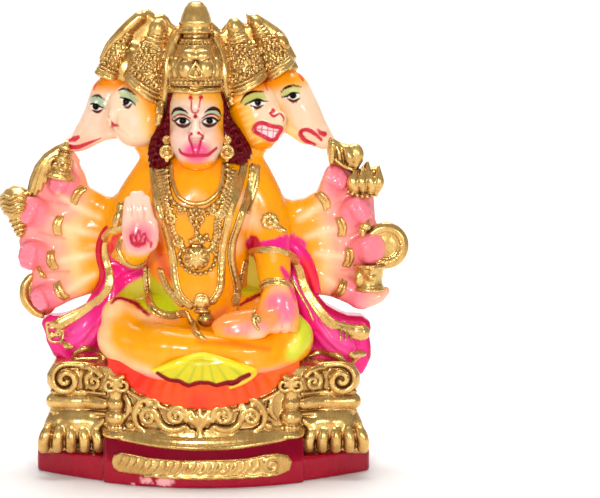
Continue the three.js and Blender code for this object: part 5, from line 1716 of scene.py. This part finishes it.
def middle_crown():
    """The tall helmet: a rolled rim, beads, two smooth lobes about a drop, tiers and a knob."""
    profile = [[0, 1.8], [12.4, 2.4], [13.2, 4], [12.9, 6], [12.9, 9], [13.0, 16], [11.8, 22], [9.8, 26.2],
               [7.4, 27.4], [7.2, 29], [6.6, 31], [6.4, 32.6], [8.0, 34], [8.5, 36.4], [8.4, 39.6],
               [7.4, 43.2], [5.8, 47], [3.8, 49.4], [1.8, 50.3], [0, 50.4]]
    centre = (HEAD_X - 0.5, -11, 140)
    clay = Clay((-30, -34, 120), (22, 10, 194), 0.42)
    clay.press([turned(profile, centre)])
    at = wrapped(profile, centre)
    whole = np.arange(-150, 151, 8)
    dip = 1.3 * np.exp(-(whole / 12.0) ** 2)
    clay.press(cord(at(whole, 4.0 - dip, 0.6), 1.5, 1), 0.6)
    for height, proud, radius in ((6.6, 0.2, 0.6), (10.0, 0.2, 0.6), (26.8, 0.2, 0.9), (30.0, 0.2, 0.8),
                                  (34.4, 0.1, 1.1), (38.6, 0.1, 0.7)):
        clay.press(cord(at(whole, height, proud), radius, 1), 0.5)
    clay.press([egg(p, 1.3) for p in at(np.arange(-92, 93, 11.5), 8.3, 0.3)], 0.3)
    clay.press([egg(p, 0.95) for p in at(np.arange(-100, 101, 18), 28.4, 0.3)], 0.3)
    for hand in (-1, 1):
        clay.press([egg(at(hand * 20, 15, -0.2), (4.8, 3.2, 5.2), lean=hand * 16)], 0.6)
        clay.press([egg(at(hand * 15, 21.6, -0.6), (4.8, 2.8, 3.6), lean=-hand * 24)], 0.8)
        fold = at(hand * np.array([6, 28, 42, 46, 40]), np.array([23.6, 22.6, 18.8, 14, 10.8]), 0.1)
        clay.press(cord(fold, (0.7, 1.1, 0.8), 3), 0.9)
        clay.press([egg(at(hand * 58, 15.5, -0.5), (2.4, 2.4, 5.4))], 0.9)
        clay.press([egg(at(hand * 78, 14, -0.3), (2, 2, 4.6))], 0.9)
    drop = at(np.array([0, -9, -13, 0, 13, 9, 0]), np.array([18.4, 15, 12, 10.9, 12, 15, 18.4]), 2.2)
    clay.press(cord(drop, 0.8, 3), 0.3)
    clay.press([egg(at(0, 13.4, 1.0), (2.6, 1.8, 3.2)), egg(at(0, 13.0, 2.6), 1.4)], 0.3)
    # ribs that run down beside the helmet, and the beads outside them
    left = [[-13.6, -9, 173.8, 1.1], [-17.4, -11, 166, 1.5], [-19.4, -13, 158, 1.6], [-19.8, -13.4, 149, 1.6],
            [-20.8, -12, 139, 1.5], [-22.4, -10, 131, 1.1]]
    right = [[6.0, -9, 171, 1.1], [9.6, -11, 163, 1.5], [11.2, -13, 155, 1.6], [11.2, -13.4, 148, 1.5],
             [12.6, -12, 140.4, 1.2]]
    for stations, hand in ((left, -1), (right, 1)):
        for shift, scale in ((-2.6, 0.9), (0, 1.0), (2.2, 0.7)):
            clay.press(limb([[x + hand * shift, y + 0.5 * abs(shift), z - 0.6 * shift, r * scale]
                             for x, y, z, r in stations]), 0.5)
        wall = [[x - hand * 0.6, y + 3, z, r + 2.4] for x, y, z, r in stations]
        clay.press(limb(wall), 1)
        line = np.array([[x + hand * 4.2, y + 1.4, z - 2.6] for x, y, z, r in stations])
        clay.press(beads(path(line), 1.15, 2.7), 0.3)
    # granular drops that hang from the side crowns to the cheeks
    rng = np.random.default_rng(5)
    for line, wide in (([[-22.6, -13, 136.4], [-23.2, -15, 131], [-24.4, -15, 126.6]], 2.2),
                       ([[14.4, -14, 139.4], [14.8, -14, 137]], 1.6)):
        clay.press(cord(np.array(line), wide, 3), 0.4)
        for x, y, z in evenly(path(np.array(line), 6), 0.9):
            place = (x + rng.uniform(-wide, wide) * 0.8, y - wide * 0.8, z)
            clay.press([egg(place, rng.uniform(0.6, 1.0))], 0.3)
    return clay


COLLAR = [(-16.9, 105.2), (-16.3, 98), (-14.9, 93.3), (-12.8, 89.1), (-8.5, 86.2), (-3.2, 85.4),
          (2.1, 86.7), (7.4, 91.5), (9.5, 97), (10.4, 105.2)]
PEARLS = [(-19.4, 104.5), (-18.8, 97), (-17.8, 91), (-15.8, 86.3), (-11.7, 83.4), (-8.0, 82.3), (-3.7, 81.6),
          (1.0, 81.9), (4.8, 84.2), (8.5, 87.5), (10.9, 92.3), (12.6, 98.1), (12.6, 105)]
LEFT_CHAIN = [(-22.6, 102), (-21, 92.3), (-19.8, 85.8), (-17.2, 77.8), (-16.4, 70.5), (-13.3, 65.5),
              (-10.7, 60.6)]
RIGHT_CHAIN = [(16, 101), (14.6, 93), (11.6, 86.8), (9.8, 81.5), (7.4, 76), (7.2, 70.7), (6.2, 64.3),
               (4.0, 60.4)]
LEFT_RIBBON = [(-26.6, 104), (-25.8, 95), (-24.6, 87), (-22.6, 79), (-19.2, 70.7), (-17.4, 62.7),
               (-15.8, 54.6), (-15, 44.9), (-12.2, 36.4), (-6.6, 31)]
RIGHT_RIBBON = [(21.4, 104), (19.4, 96), (17.4, 90), (14.9, 84.1), (12.8, 76.1), (11.2, 68.1), (9.8, 60),
                (9.4, 49.2), (8.6, 40), (4.6, 33.4)]
OUTER_RIBBON = [(26.2, 103.5), (25.6, 96), (23.6, 89), (20.8, 81.1), (17.6, 72), (15.2, 64), (15.0, 54.2),
                (17.2, 43.4), (18, 37.6), (16.8, 33)]


def sideways(line):
    """Directions across a line in a plane, a quarter turn to its left."""
    run = np.gradient(line, axis=0)
    return np.column_stack([-run[:, 1], run[:, 0]]) / np.linalg.norm(run, axis=1)[:, None]


def beside(points, shift):
    """A line drawn beside another one in x and z."""
    line = path(points, 6)
    return line + sideways(line) * shift


def ribbon(clay, under, points, width, beaded=3.0, hop=NOWHERE):
    """A smooth band with raised edges and a row of granules."""
    middle = laid(under, points, -0.2, hop=hop)
    clay.press(limb(np.column_stack([middle, np.full(len(middle), width / 2)]), 1, flat=0.62), 0.3)
    for hand in (-1, 1):
        clay.press(cord(laid(under, beside(points, hand * width * 0.42), 0.5, 1, hop), 0.62, 1), 0.3)
    clay.press(beads(laid(under, points, 0.8, hop=hop), 0.5, beaded), 0.3)


def jewellery(under):
    """Everything that hangs on the chest, laid on the body: collar, chains, medallion, ribbons, knot."""
    clay = Clay((-36, -60, 8), (34, 4, 124), 0.45)
    for points in (LEFT_RIBBON, RIGHT_RIBBON, OUTER_RIBBON):
        ribbon(clay, under, points, 3.7, hop=8)
    wire(clay, under, beside(OUTER_RIBBON[:4], 2.8), 0.3, 1.2, 0.3, 1)
    for points in (LEFT_CHAIN, RIGHT_CHAIN):
        wire(clay, under, points, 0, 1.1, 0.3)
        for shift in (-1.3, 1.3):
            bead_row(clay, under, beside(points, shift), 0.5, 1.05, 2.0, 0.3, 1)
        bead_row(clay, under, points, 1.3, 0.8, 1.9, 0.2)
    wire(clay, under, PEARLS, -0.3, 1.3, 0.4)
    wire(clay, under, COLLAR, 0.3, 1.2, 0.4)
    bead_row(clay, under, PEARLS, 0.8, 1.5, 3.1, 0.3)
    bead_row(clay, under, beside(PEARLS, -2.6), 0.2, 0.85, 2.6, 0.3, 1)

    def spot(x, z, proud=0.0):
        return laid(under, [(x, z), (x, z + 0.1)], proud, 1)[0]

    for x, z, radius in ((-3.7, 80.6, 3.4), (-12, 81.8, 2.3), (4.9, 81.2, 2.3), (-17.0, 77.6, 3.4),
                         (-13.3, 65.4, 3.3), (9.6, 80, 2.6), (7.0, 69, 2.4)):
        clay.press(rosette(spot(x, z, 0.6), radius), 0.3)
    clay.press([egg(spot(-7, 77.6, 0.6), (1, 1, 1.8)), egg(spot(-0.2, 77.2, 0.6), (1, 1, 1.8)),
                egg(spot(-3.7, 75.6, 0.6), (1.2, 1.1, 2.2))], 0.2)
    for line in ([(-6.9, 78.4), (-5.6, 75), (-3.6, 71.4), (-1.0, 68), (3.7, 65.5), (5.6, 63)],
                 [(-0.0, 77.8), (-2.2, 73.6), (-3.7, 69.4), (-4.6, 66)]):
        bead_row(clay, under, line, 0.5, 1.05, 2.2, 0.3)
    # medallion, the cluster over it and the beads under it
    x, y, z = spot(-3.8, 57.2, 1.0)
    clay.press([egg((x, y + 0.4, z), (6.2, 3.0, 6.2)), ring((x, y + 0.2, z), (0, 1, 0), 6.2, 0.9)], 0.3)
    for angle in np.radians([20, 55, 125, 160, 200, 235, 270, 305, 340]):
        tip, root = 5.4, 2.6
        ray = [[x + root * math.cos(angle), y - 2.2, z + root * math.sin(angle)],
               [x + tip * math.cos(angle), y - 1.2, z + tip * math.sin(angle)]]
        clay.press(cord(ray, (0.6, 0.9), 1), 0.6)
    for dx, dz, radius in ((-6.6, 65.6, 1.7), (-3.8, 67.2, 2.0), (-0.8, 65.6, 1.8), (-3.6, 70.4, 1.6),
                           (1.6, 68.6, 1.5)):
        clay.press([egg(spot(dx, dz, 0.8), radius)], 0.3)
    arc = [(-12.6, 58.4), (-11.6, 53.4), (-8.2, 49.8), (-3.2, 48.4), (2.4, 49.6), (5.6, 53.4), (6.4, 58.4)]
    wire(clay, under, arc, 0.1, 0.7, 0.3)
    bead_row(clay, under, arc, 0.8, 1.25, 2.8, 0.3)
    # waist straps, and the knot where the ribbons meet, with its ball and tail
    for line, width in (([(-30.6, 49), (-30.2, 41), (-28.8, 34), (-24.6, 28.6), (-17.1, 26.1),
                          (-9, 27.2)], 3.4),
                        ([(-23.0, 49.4), (-21, 44), (-17.6, 38), (-11, 31.6)], 2.8),
                        ([(22.4, 53.1), (20.6, 46), (18.4, 38), (16.4, 31)], 2.4)):
        ribbon(clay, under, line, width, 2.4)
    for height, radius in ((36.6, 3.4), (33.8, 3.8)):
        arch = [(-1 - radius, height - 2.2), (-1 - 0.7 * radius, height), (-1, height + 0.9),
                (-1 + 0.7 * radius, height), (-1 + radius, height - 2.2)]
        wire(clay, under, arch, 0.8, 0.9, 0.4)
    x, y, z = spot(-1, 33)
    clay.press([egg((x, y + 0.6, z), (4.0, 2.8, 4.6)),
                egg((x + 0.4, y - 0.4, z - 4.4), (4.6, 2.4, 1.5))], 0.5)
    x, y, z = spot(1.2, 24, 1.2)
    clay.press([egg((x, y, z), (4.4, 3.4, 3.8))], 0.4)
    tail = [(-8.6, 27.6), (-7.2, 24), (-5, 21), (-2, 18.6), (0.8, 17.2)]
    wire(clay, under, tail, 0.5, (0.9, 1.8, 1.9, 1.0), 0.4)
    # earrings: a cluster on the lobe over a ring with a ball
    for hand in (-1, 1):
        x = HEAD_X + hand * 15.7
        clay.press(rosette((x, -19.4, 118), 2.4, 6), 0.3)
        clay.press([egg((x, -18.6, 118), (2.6, 1.4, 2.6))], 0.3)
        clay.press([ring((x, -20, 111.8), (0, 1, 0), 3.1, 0.9), egg((x, -19.6, 111.8), (3, 1.2, 3)),
                    egg((x, -20.6, 111.8), 2.1), egg((x, -19.6, 107.8), (1.2, 1.2, 1.5))], 0.3)
    return clay


def arm_rings(under):
    """Armlets, bangles, the bracelets of the fanned arms and the anklet."""
    clay = Clay((-96, -56, 20), (96, 18, 104), 0.5)
    for root, wrist, _, _ in FANNED_ARMS:
        run = np.array(wrist, float) - np.array(root, float)
        run = run / np.linalg.norm(run)
        side = np.array([-run[1], run[0]])
        for shift in (-1.1, 1.1):
            arc = [np.array(wrist) + run * (shift + (1 - (k / 4.2) ** 2)) + side * k
                   for k in np.linspace(-4.4, 4.4, 7)]
            wire(clay, under, arc, 0.2, (1.3, 1.6, 1.3), 0.3)
    clay.press([ring((-36.8, -31.2, 61.4), (-0.55, 0.78, -0.3), 8.2, 1.7),
                ring((-37.4, -29.6, 61), (-0.55, 0.78, -0.3), 8.4, 1.1)], 0.6)
    clay.press([ring((38.4, -33.0, 39.8), (0.1, 0.65, 0.75), 7.9, 1.2),
                ring((38.2, -31.4, 41.8), (0.1, 0.65, 0.75), 8.1, 1.1)], 0.4)
    x, z = 34.8, 75.2
    y = fronts(under, x, z)[0]
    clay.press(rosette((x, y - 0.8, z), 4.8), 0.5)
    clay.press([egg((x, y, z), (4.6, 2.2, 4.6)),
                egg((x + 2.4, y + 0.2, z - 5.6), (5.6, 1.8, 3.0), lean=-20)], 0.8)
    bead_row(clay, under, [(39.4, 72.6), (42.6, 70.2)], 0.7, 1.4, 2.4, 0.3)
    clay.press([egg((-45, -17, 76), (2.8, 2.2, 5.4), lean=14), egg((-43.4, -15, 82), (2.6, 2.2, 3.6))], 1)
    clay.press(rosette(laid(under, [(28.2, 27.4), (28.2, 27.5)], 0.6, 1)[0], 2.6, 6), 0.4)
    wire(clay, under, [(26.8, 32), (25.8, 28.6), (26.4, 24.6), (28.4, 22)], 0.5, (0.8, 1.2, 0.8), 0.3)
    return clay


def shawl_border(under):
    """The gold edging of the shawl, widening to worked ends, and the leaves under them."""
    clay = Clay((-92, -30, -14), (94, 6, 78), 0.5)
    left = [(-42.6, 71.4), (-48.4, 69.4), (-52, 65.6), (-53.3, 61), (-52.5, 55.4), (-51.1, 50.6),
            (-49.9, 46.2), (-50.0, 41.2), (-51.8, 36.4), (-55.4, 32.3), (-60.2, 28.6), (-65.6, 25.1),
            (-71, 22), (-77, 18.8)]
    right = [(25.6, 58.4), (30.4, 60.2), (35.6, 60.6), (41, 59.6), (45.6, 57), (49, 53.4), (51, 48.4),
             (52.4, 42.6), (54.8, 36.8), (57.8, 31.8), (61.7, 26.5), (66.4, 21.2), (72, 17.6), (78.6, 15.2),
             (84.4, 14)]
    for points, widths in ((left, (2.0, 2.2, 1.9, 2.2, 2.4, 3.4)), (right, (2.0, 2.2, 2.2, 2.4, 2.8, 4.6))):
        middle = laid(under, points, -0.2)
        middle[:, 1] = np.convolve(np.pad(middle[:, 1], 5, mode="edge"), np.full(11, 1 / 11), "valid")
        radii = spread(widths, len(middle))
        side = sideways(middle[:, [0, 2]])
        clay.press(limb(np.column_stack([middle, radii]), 1, flat=0.8), 0.3)
        for hand in (-1, 1):
            edge = middle - np.outer(0.5 * radii, [0, 1, 0])
            edge[:, [0, 2]] += side * (hand * radii * 0.75)[:, None]
            clay.press(cord(edge, 0.8, 1), 0.4)
    wire(clay, under, [(46.6, 44), (50.6, 36.6), (55, 29), (58, 22)], 0.3, 0.8, 0.3)
    # worked ends
    for x, z, radius in ((-80.6, 17.4, 2.0), (-77.4, 13.4, 2.2), (-81.4, 12.2, 1.7), (-76, 17.6, 1.8)):
        curl = spiral((x, z), radius, 1.2, 90 + 10 * x, 1, 0.2, 14)
        wire(clay, under, curl, 0.4, 0.75, 0.3, 1)
    block = [(-84, 19.4), (-74.4, 19.2), (-74.8, 14.8), (-76.2, 9.6), (-82.2, 10), (-84, 19.4)]
    wire(clay, under, block, 0.3, 0.8, 0.3, 4)
    for line, widths in (([(-75.4, 8.4), (-72.6, 8.0), (-69.6, 7.4)], (1.2, 2.2, 1.0)),
                         ([(-69.9, 0.8), (-66.6, 5.4), (-62.2, 6.8), (-57.9, 4.4), (-52, 0.4)],
                          (0.8, 1.7, 1.5, 0.7)),
                         ([(-68.8, 0.0), (-60.1, 0.2), (-53.5, -0.6), (-47, -2.4)], (1.2, 1.5, 0.8)),
                         ([(54.5, 0.5), (60.5, 3), (67.6, 3.5), (72, 1)], (1.0, 1.9, 1.7, 0.8)),
                         ([(66, 3.6), (72, 2.4), (77.5, -3.4)], (1.0, 1.9, 1.0)),
                         ([(78.6, 3.4), (82.4, 2.6), (86, 2.4)], (1.8, 2.8, 1.4)),
                         ([(80, -2.4), (81.4, 0.6)], (1.0, 1.8)),
                         ([(52.6, 2.2), (50.4, 4.2)], (1.6, 1.0))):
        wire(clay, under, line, 0.4, widths, 0.5)
    for k in range(5):
        x = 72.5 + 2.9 * k
        wire(clay, under, [(x, 11.2 + 0.4 * k), (x + 0.8, 18.6 - 0.2 * k)], 2.2, 0.6, 0.4)
    return clay


def left_attributes():
    """Bell, ribbed plume, ridged conch and the rim of a disc, held by the hands on the viewer's left."""
    clay = Clay((-112, -16, 16), (-60, 14, 120), 0.45)
    bell = [[0, -4.4], [6.6, -4.2], [7.0, -2.6], [5.4, -0.6], [4.9, 3], [4.6, 5.6], [3.2, 8], [2.2, 10],
            [2.6, 12], [1.7, 14], [1.3, 15.6], [0, 16.8]]
    at = wrapped(bell, (-75, -5, 100.6), 10)
    clay.press([turned(bell, (-75, -5, 100.6), 10)], 0.5)
    whole = np.arange(0, 361, 15)
    for height, radius in ((-3.4, 1.1), (-0.4, 0.6), (6.4, 0.8), (9.4, 0.8), (12, 0.8)):
        clay.press(cord(at(whole, height, 0.1), radius, 1), 0.3)
    for angle, height, radius in ((-50, 2.6, 1.5), (-16, 3.0, 1.2), (18, 2.8, 1.7), (50, 2.4, 1.3)):
        clay.press([egg(at(angle, height, 0.2), radius)], 0.4)
    plume = [(-72.4, 116.2), (-79, 113.4), (-85, 109.4), (-89.8, 103.4), (-92.8, 96), (-94, 90),
             (-93.2, 86.2), (-88.6, 86.4), (-85.6, 91), (-82, 96), (-74, 98), (-71, 108)]
    clay.press([slab(plume, -3, 4, 2.6)], 0.5)
    for root, tip in (((-73.4, 114.8), (-92.2, 88.6)), ((-73, 113.8), (-89.6, 88.4)),
                      ((-73, 112.4), (-86.8, 91)), ((-73, 111), (-84, 95.2)), ((-73, 109), (-81, 99))):
        bend = along(root, tip, 0.5) + np.array([-3.2, 2.6])
        clay.press(limb([[root[0], -3.8, root[1], 0.8], [bend[0], -5.2, bend[1], 1.4],
                         [tip[0], -4.6, tip[1], 1.2]], 5), 0.2)
    conch = [[0, -2], [1.8, 1], [3.2, 5], [4.6, 9], [6.6, 13], [8.2, 17], [8.4, 20.4], [7.2, 23.6], [4.8, 26],
             [0, 27.6]]
    at = wrapped(conch, (-97.6, -2, 65.4), -7)
    clay.press([turned(conch, (-97.6, -2, 65.4), -7)], 0.5)
    for height, radius in ((1.2, 0.9), (3.6, 1), (6.2, 1), (9.0, 1)):
        clay.press(cord(at(whole, height + np.sin(np.radians(whole)) * 0.6, 0.1), radius, 1), 0.4)
    for height in (13.6, 15.6, 17.6, 20.2, 22.4):
        wave = height + 0.7 * np.sin(np.radians(whole * 6))
        clay.press(cord(at(whole, wave, 0.1), 0.8, 1), 0.4)
    clay.press([egg((-88.4, 3.4, 33.4), (9.4, 4.4, 12.2), lean=-24)], 0.5)
    edge = [[-92.4, 0, 43.6, 1.6], [-96.0, -0.6, 38.5, 2.2], [-96.0, -0.6, 31, 2.4], [-91.6, -0.6, 25, 2.2],
            [-87, 0, 22, 1.6]]
    clay.press(limb(edge, 4), 0.5)
    clay.press(limb([[-88.4, -4, 48.6, 1.4], [-86.8, -6, 46, 1.5], [-84.6, -5.4, 44.4, 1.2]], 4), 0.4)
    return clay


def right_attributes():
    """Flask and club, lotus bud, wheel and cup, held by the hands on the viewer's right."""
    clay = Clay((58, -20, 24), (112, 14, 126), 0.45)
    whole = np.arange(0, 361, 15)
    flask = [(65.4, 117.8), (68.6, 118), (72.4, 115.8), (76.6, 114.6), (80.6, 115), (83.4, 112), (84.8, 106),
             (82, 101), (76, 100.6), (72, 103.4), (66.8, 104), (65.4, 110)]
    clay.press([slab(flask, -6, 4, 3)], 0.5)
    for line in ([[67, -6, 116.4, 1.4], [68, -6.6, 112, 1.6], [67.8, -6, 105.6, 1.5]],
                 [[70.6, -6, 113.6, 1.0], [71.8, -6.6, 109.6, 1.2], [72.4, -6, 105, 1.2]],
                 [[76, -5, 112, 2.6], [77.2, -6, 108, 2.8], [77.4, -5, 103.8, 2.2]]):
        clay.press(limb(line, 3), 0.8)
    clay.press([egg((81, -4.4, 110), (4, 3.4, 5.2), lean=-14)], 1.4)
    clay.press([egg((68.4, -6.6, 114.6), 1.7), egg((66.6, -5, 117.4), 1.5)], 0.4)
    clay.press(cord([[70, -7.4, 106.6], [74, -8, 103.6], [78.6, -7.4, 101.6]], 1.0), 0.4)
    lotus = [(76.6, 90.4), (76.2, 95), (79.6, 101.2), (84, 101.6), (86.6, 105.4), (88.7, 102), (92.4, 103),
             (94, 99.6), (94.6, 91.4), (91.2, 87.8), (84, 87.4)]
    clay.press([slab(lotus, -5, 4, 2.4)], 0.5)
    for foot_x, belly_x, tip_x, tip_z in ((80.6, 78.8, 80.4, 101), (84.4, 83.6, 84.6, 102.4),
                                          (88.2, 88.6, 87, 105.2), (91.4, 92.8, 92.8, 103)):
        clay.press(limb([[foot_x, -5.4, 90, 2.2], [belly_x, -7.2, 94.6, 2.9],
                         [along([belly_x], [tip_x], 0.7)[0], -6.4, 99, 1.9], [tip_x, -5, tip_z, 0.8]]), 0.5)
    foot_line = [[76.8, -5.6, 89.6], [80, -7.2, 88.2], [84.4, -7.6, 87.4], [88.6, -7, 87.4], [91.6, -5.6, 88]]
    clay.press(beads(path(foot_line), 1.2, 2.5), 0.3)
    # the wheel: a broad hoop behind the hand, beaded on its inner edge
    centre = np.array((97.0, -2, 60.5))
    clay.press([egg(centre, (9.6, 3.4, 9.6)), ring(centre, (0, 1, 0), 9.6, 3.0, 1.4)], 1)
    clay.press([ring(centre + [0, -2.6, 0], (0, 1, 0), 6.8, 0.7),
                ring(centre + [0, -2.4, 0], (0, 1, 0), 11.6, 0.7)], 0.5)
    for angle in np.radians(np.arange(0, 360, 14)):
        place = centre + [8.2 * math.cos(angle), -3.4, 8.2 * math.sin(angle)]
        clay.press([egg(place, 0.9)], 0.3)
    clay.press([egg((86, -6, 71.4), (3.2, 3, 2.8)), egg((84.4, -7, 68.4), (2.0, 2.4, 3.4))], 0.6)
    cup = [[0, -7], [7.2, -6.8], [7.8, -5.4], [7.0, -4], [7.0, 0], [7.6, 4], [8.0, 6.6], [7.2, 7.8], [0, 7.6]]
    at = wrapped(cup, (88.6, -4, 43))
    clay.press([turned(cup, (88.6, -4, 43))], 0.5)
    for height, radius in ((-5.6, 1.0), (-3.8, 0.6), (6.8, 0.9)):
        clay.press(cord(at(whole, height, 0.1), radius, 1), 0.3)
    clay.press([egg((82.6, -7, 43.4), (2.8, 3, 4.6))], 0.8)
    for angle, height, radius in ((2, 1.6, 2.2), (8, 5.4, 1.6)):
        clay.press([egg(at(angle, height, -0.4), radius)], 1.4)
    return clay


# Build

camera()
studio()
ENAMEL = enamel()
GOLD = gold_paint()

body_clay = flesh()
dhoti_clay = dhoti()
shawl_clay = shawl()
piece("body", body_clay, ENAMEL, flesh_colours, most=100000)
piece("dhoti", dhoti_clay, ENAMEL, dhoti_colours, most=36000)
piece("pleat_fan", pleat_fan(), ENAMEL, pleat_fan_colours, most=26000)
piece("seat_cloth", seat_cloth(), ENAMEL, seat_cloth_colours, lift=0, most=22000)
piece("shawl", shawl_clay, ENAMEL, shawl_colours, most=46000)
piece("shawl_border", shawl_border([shawl_clay, body_clay]), GOLD, most=36000)
piece("plinth", plinth(), ENAMEL, plinth_colours, lift=0, most=24000)
piece("plaque", plaque(), GOLD, lift=0, most=26000)
piece("throne", throne(), GOLD, lift=0, most=100000)
piece("middle_face", middle_face(), ENAMEL, middle_face_colours, most=50000)
piece("eagle_face", eagle_face(), ENAMEL, eagle_colours, most=26000)
piece("boar_face", boar_face(), ENAMEL, boar_colours, most=26000)
piece("lion_face", lion_face(), ENAMEL, lion_colours, most=30000)
piece("horse_face", horse_face(), ENAMEL, horse_colours, most=26000)
piece("hair", hair(), ENAMEL, hair_colours, most=30000)
piece("middle_crown", middle_crown(), GOLD, most=54000)
piece("crown_backs", crown_backs(), GOLD, most=16000)
piece("eagle_crown", side_crown((-31, -6, 145.6), 11.0, 13, 5, -0.51, 0.12), GOLD, most=40000)
piece("boar_crown", side_crown((-50.4, 0, 152), 5.8, 26, 0, 0.1, 0.1, 1.75), GOLD, most=26000)
piece("lion_crown", side_crown((22.4, -6, 148), 10.4, -12, 5, 0.34, 0.12), GOLD, most=40000)
piece("horse_crown", side_crown((39.6, 0, 154.6), 8.2, -27, 0, 0.18, 0.1, 1.14), GOLD, most=32000)
piece("jewellery", jewellery([body_clay, dhoti_clay, shawl_clay]), GOLD, most=76000)
piece("arm_rings", arm_rings([body_clay]), GOLD, most=36000)
piece("left_attributes", left_attributes(), GOLD, most=30000)
piece("right_attributes", right_attributes(), GOLD, most=34000)
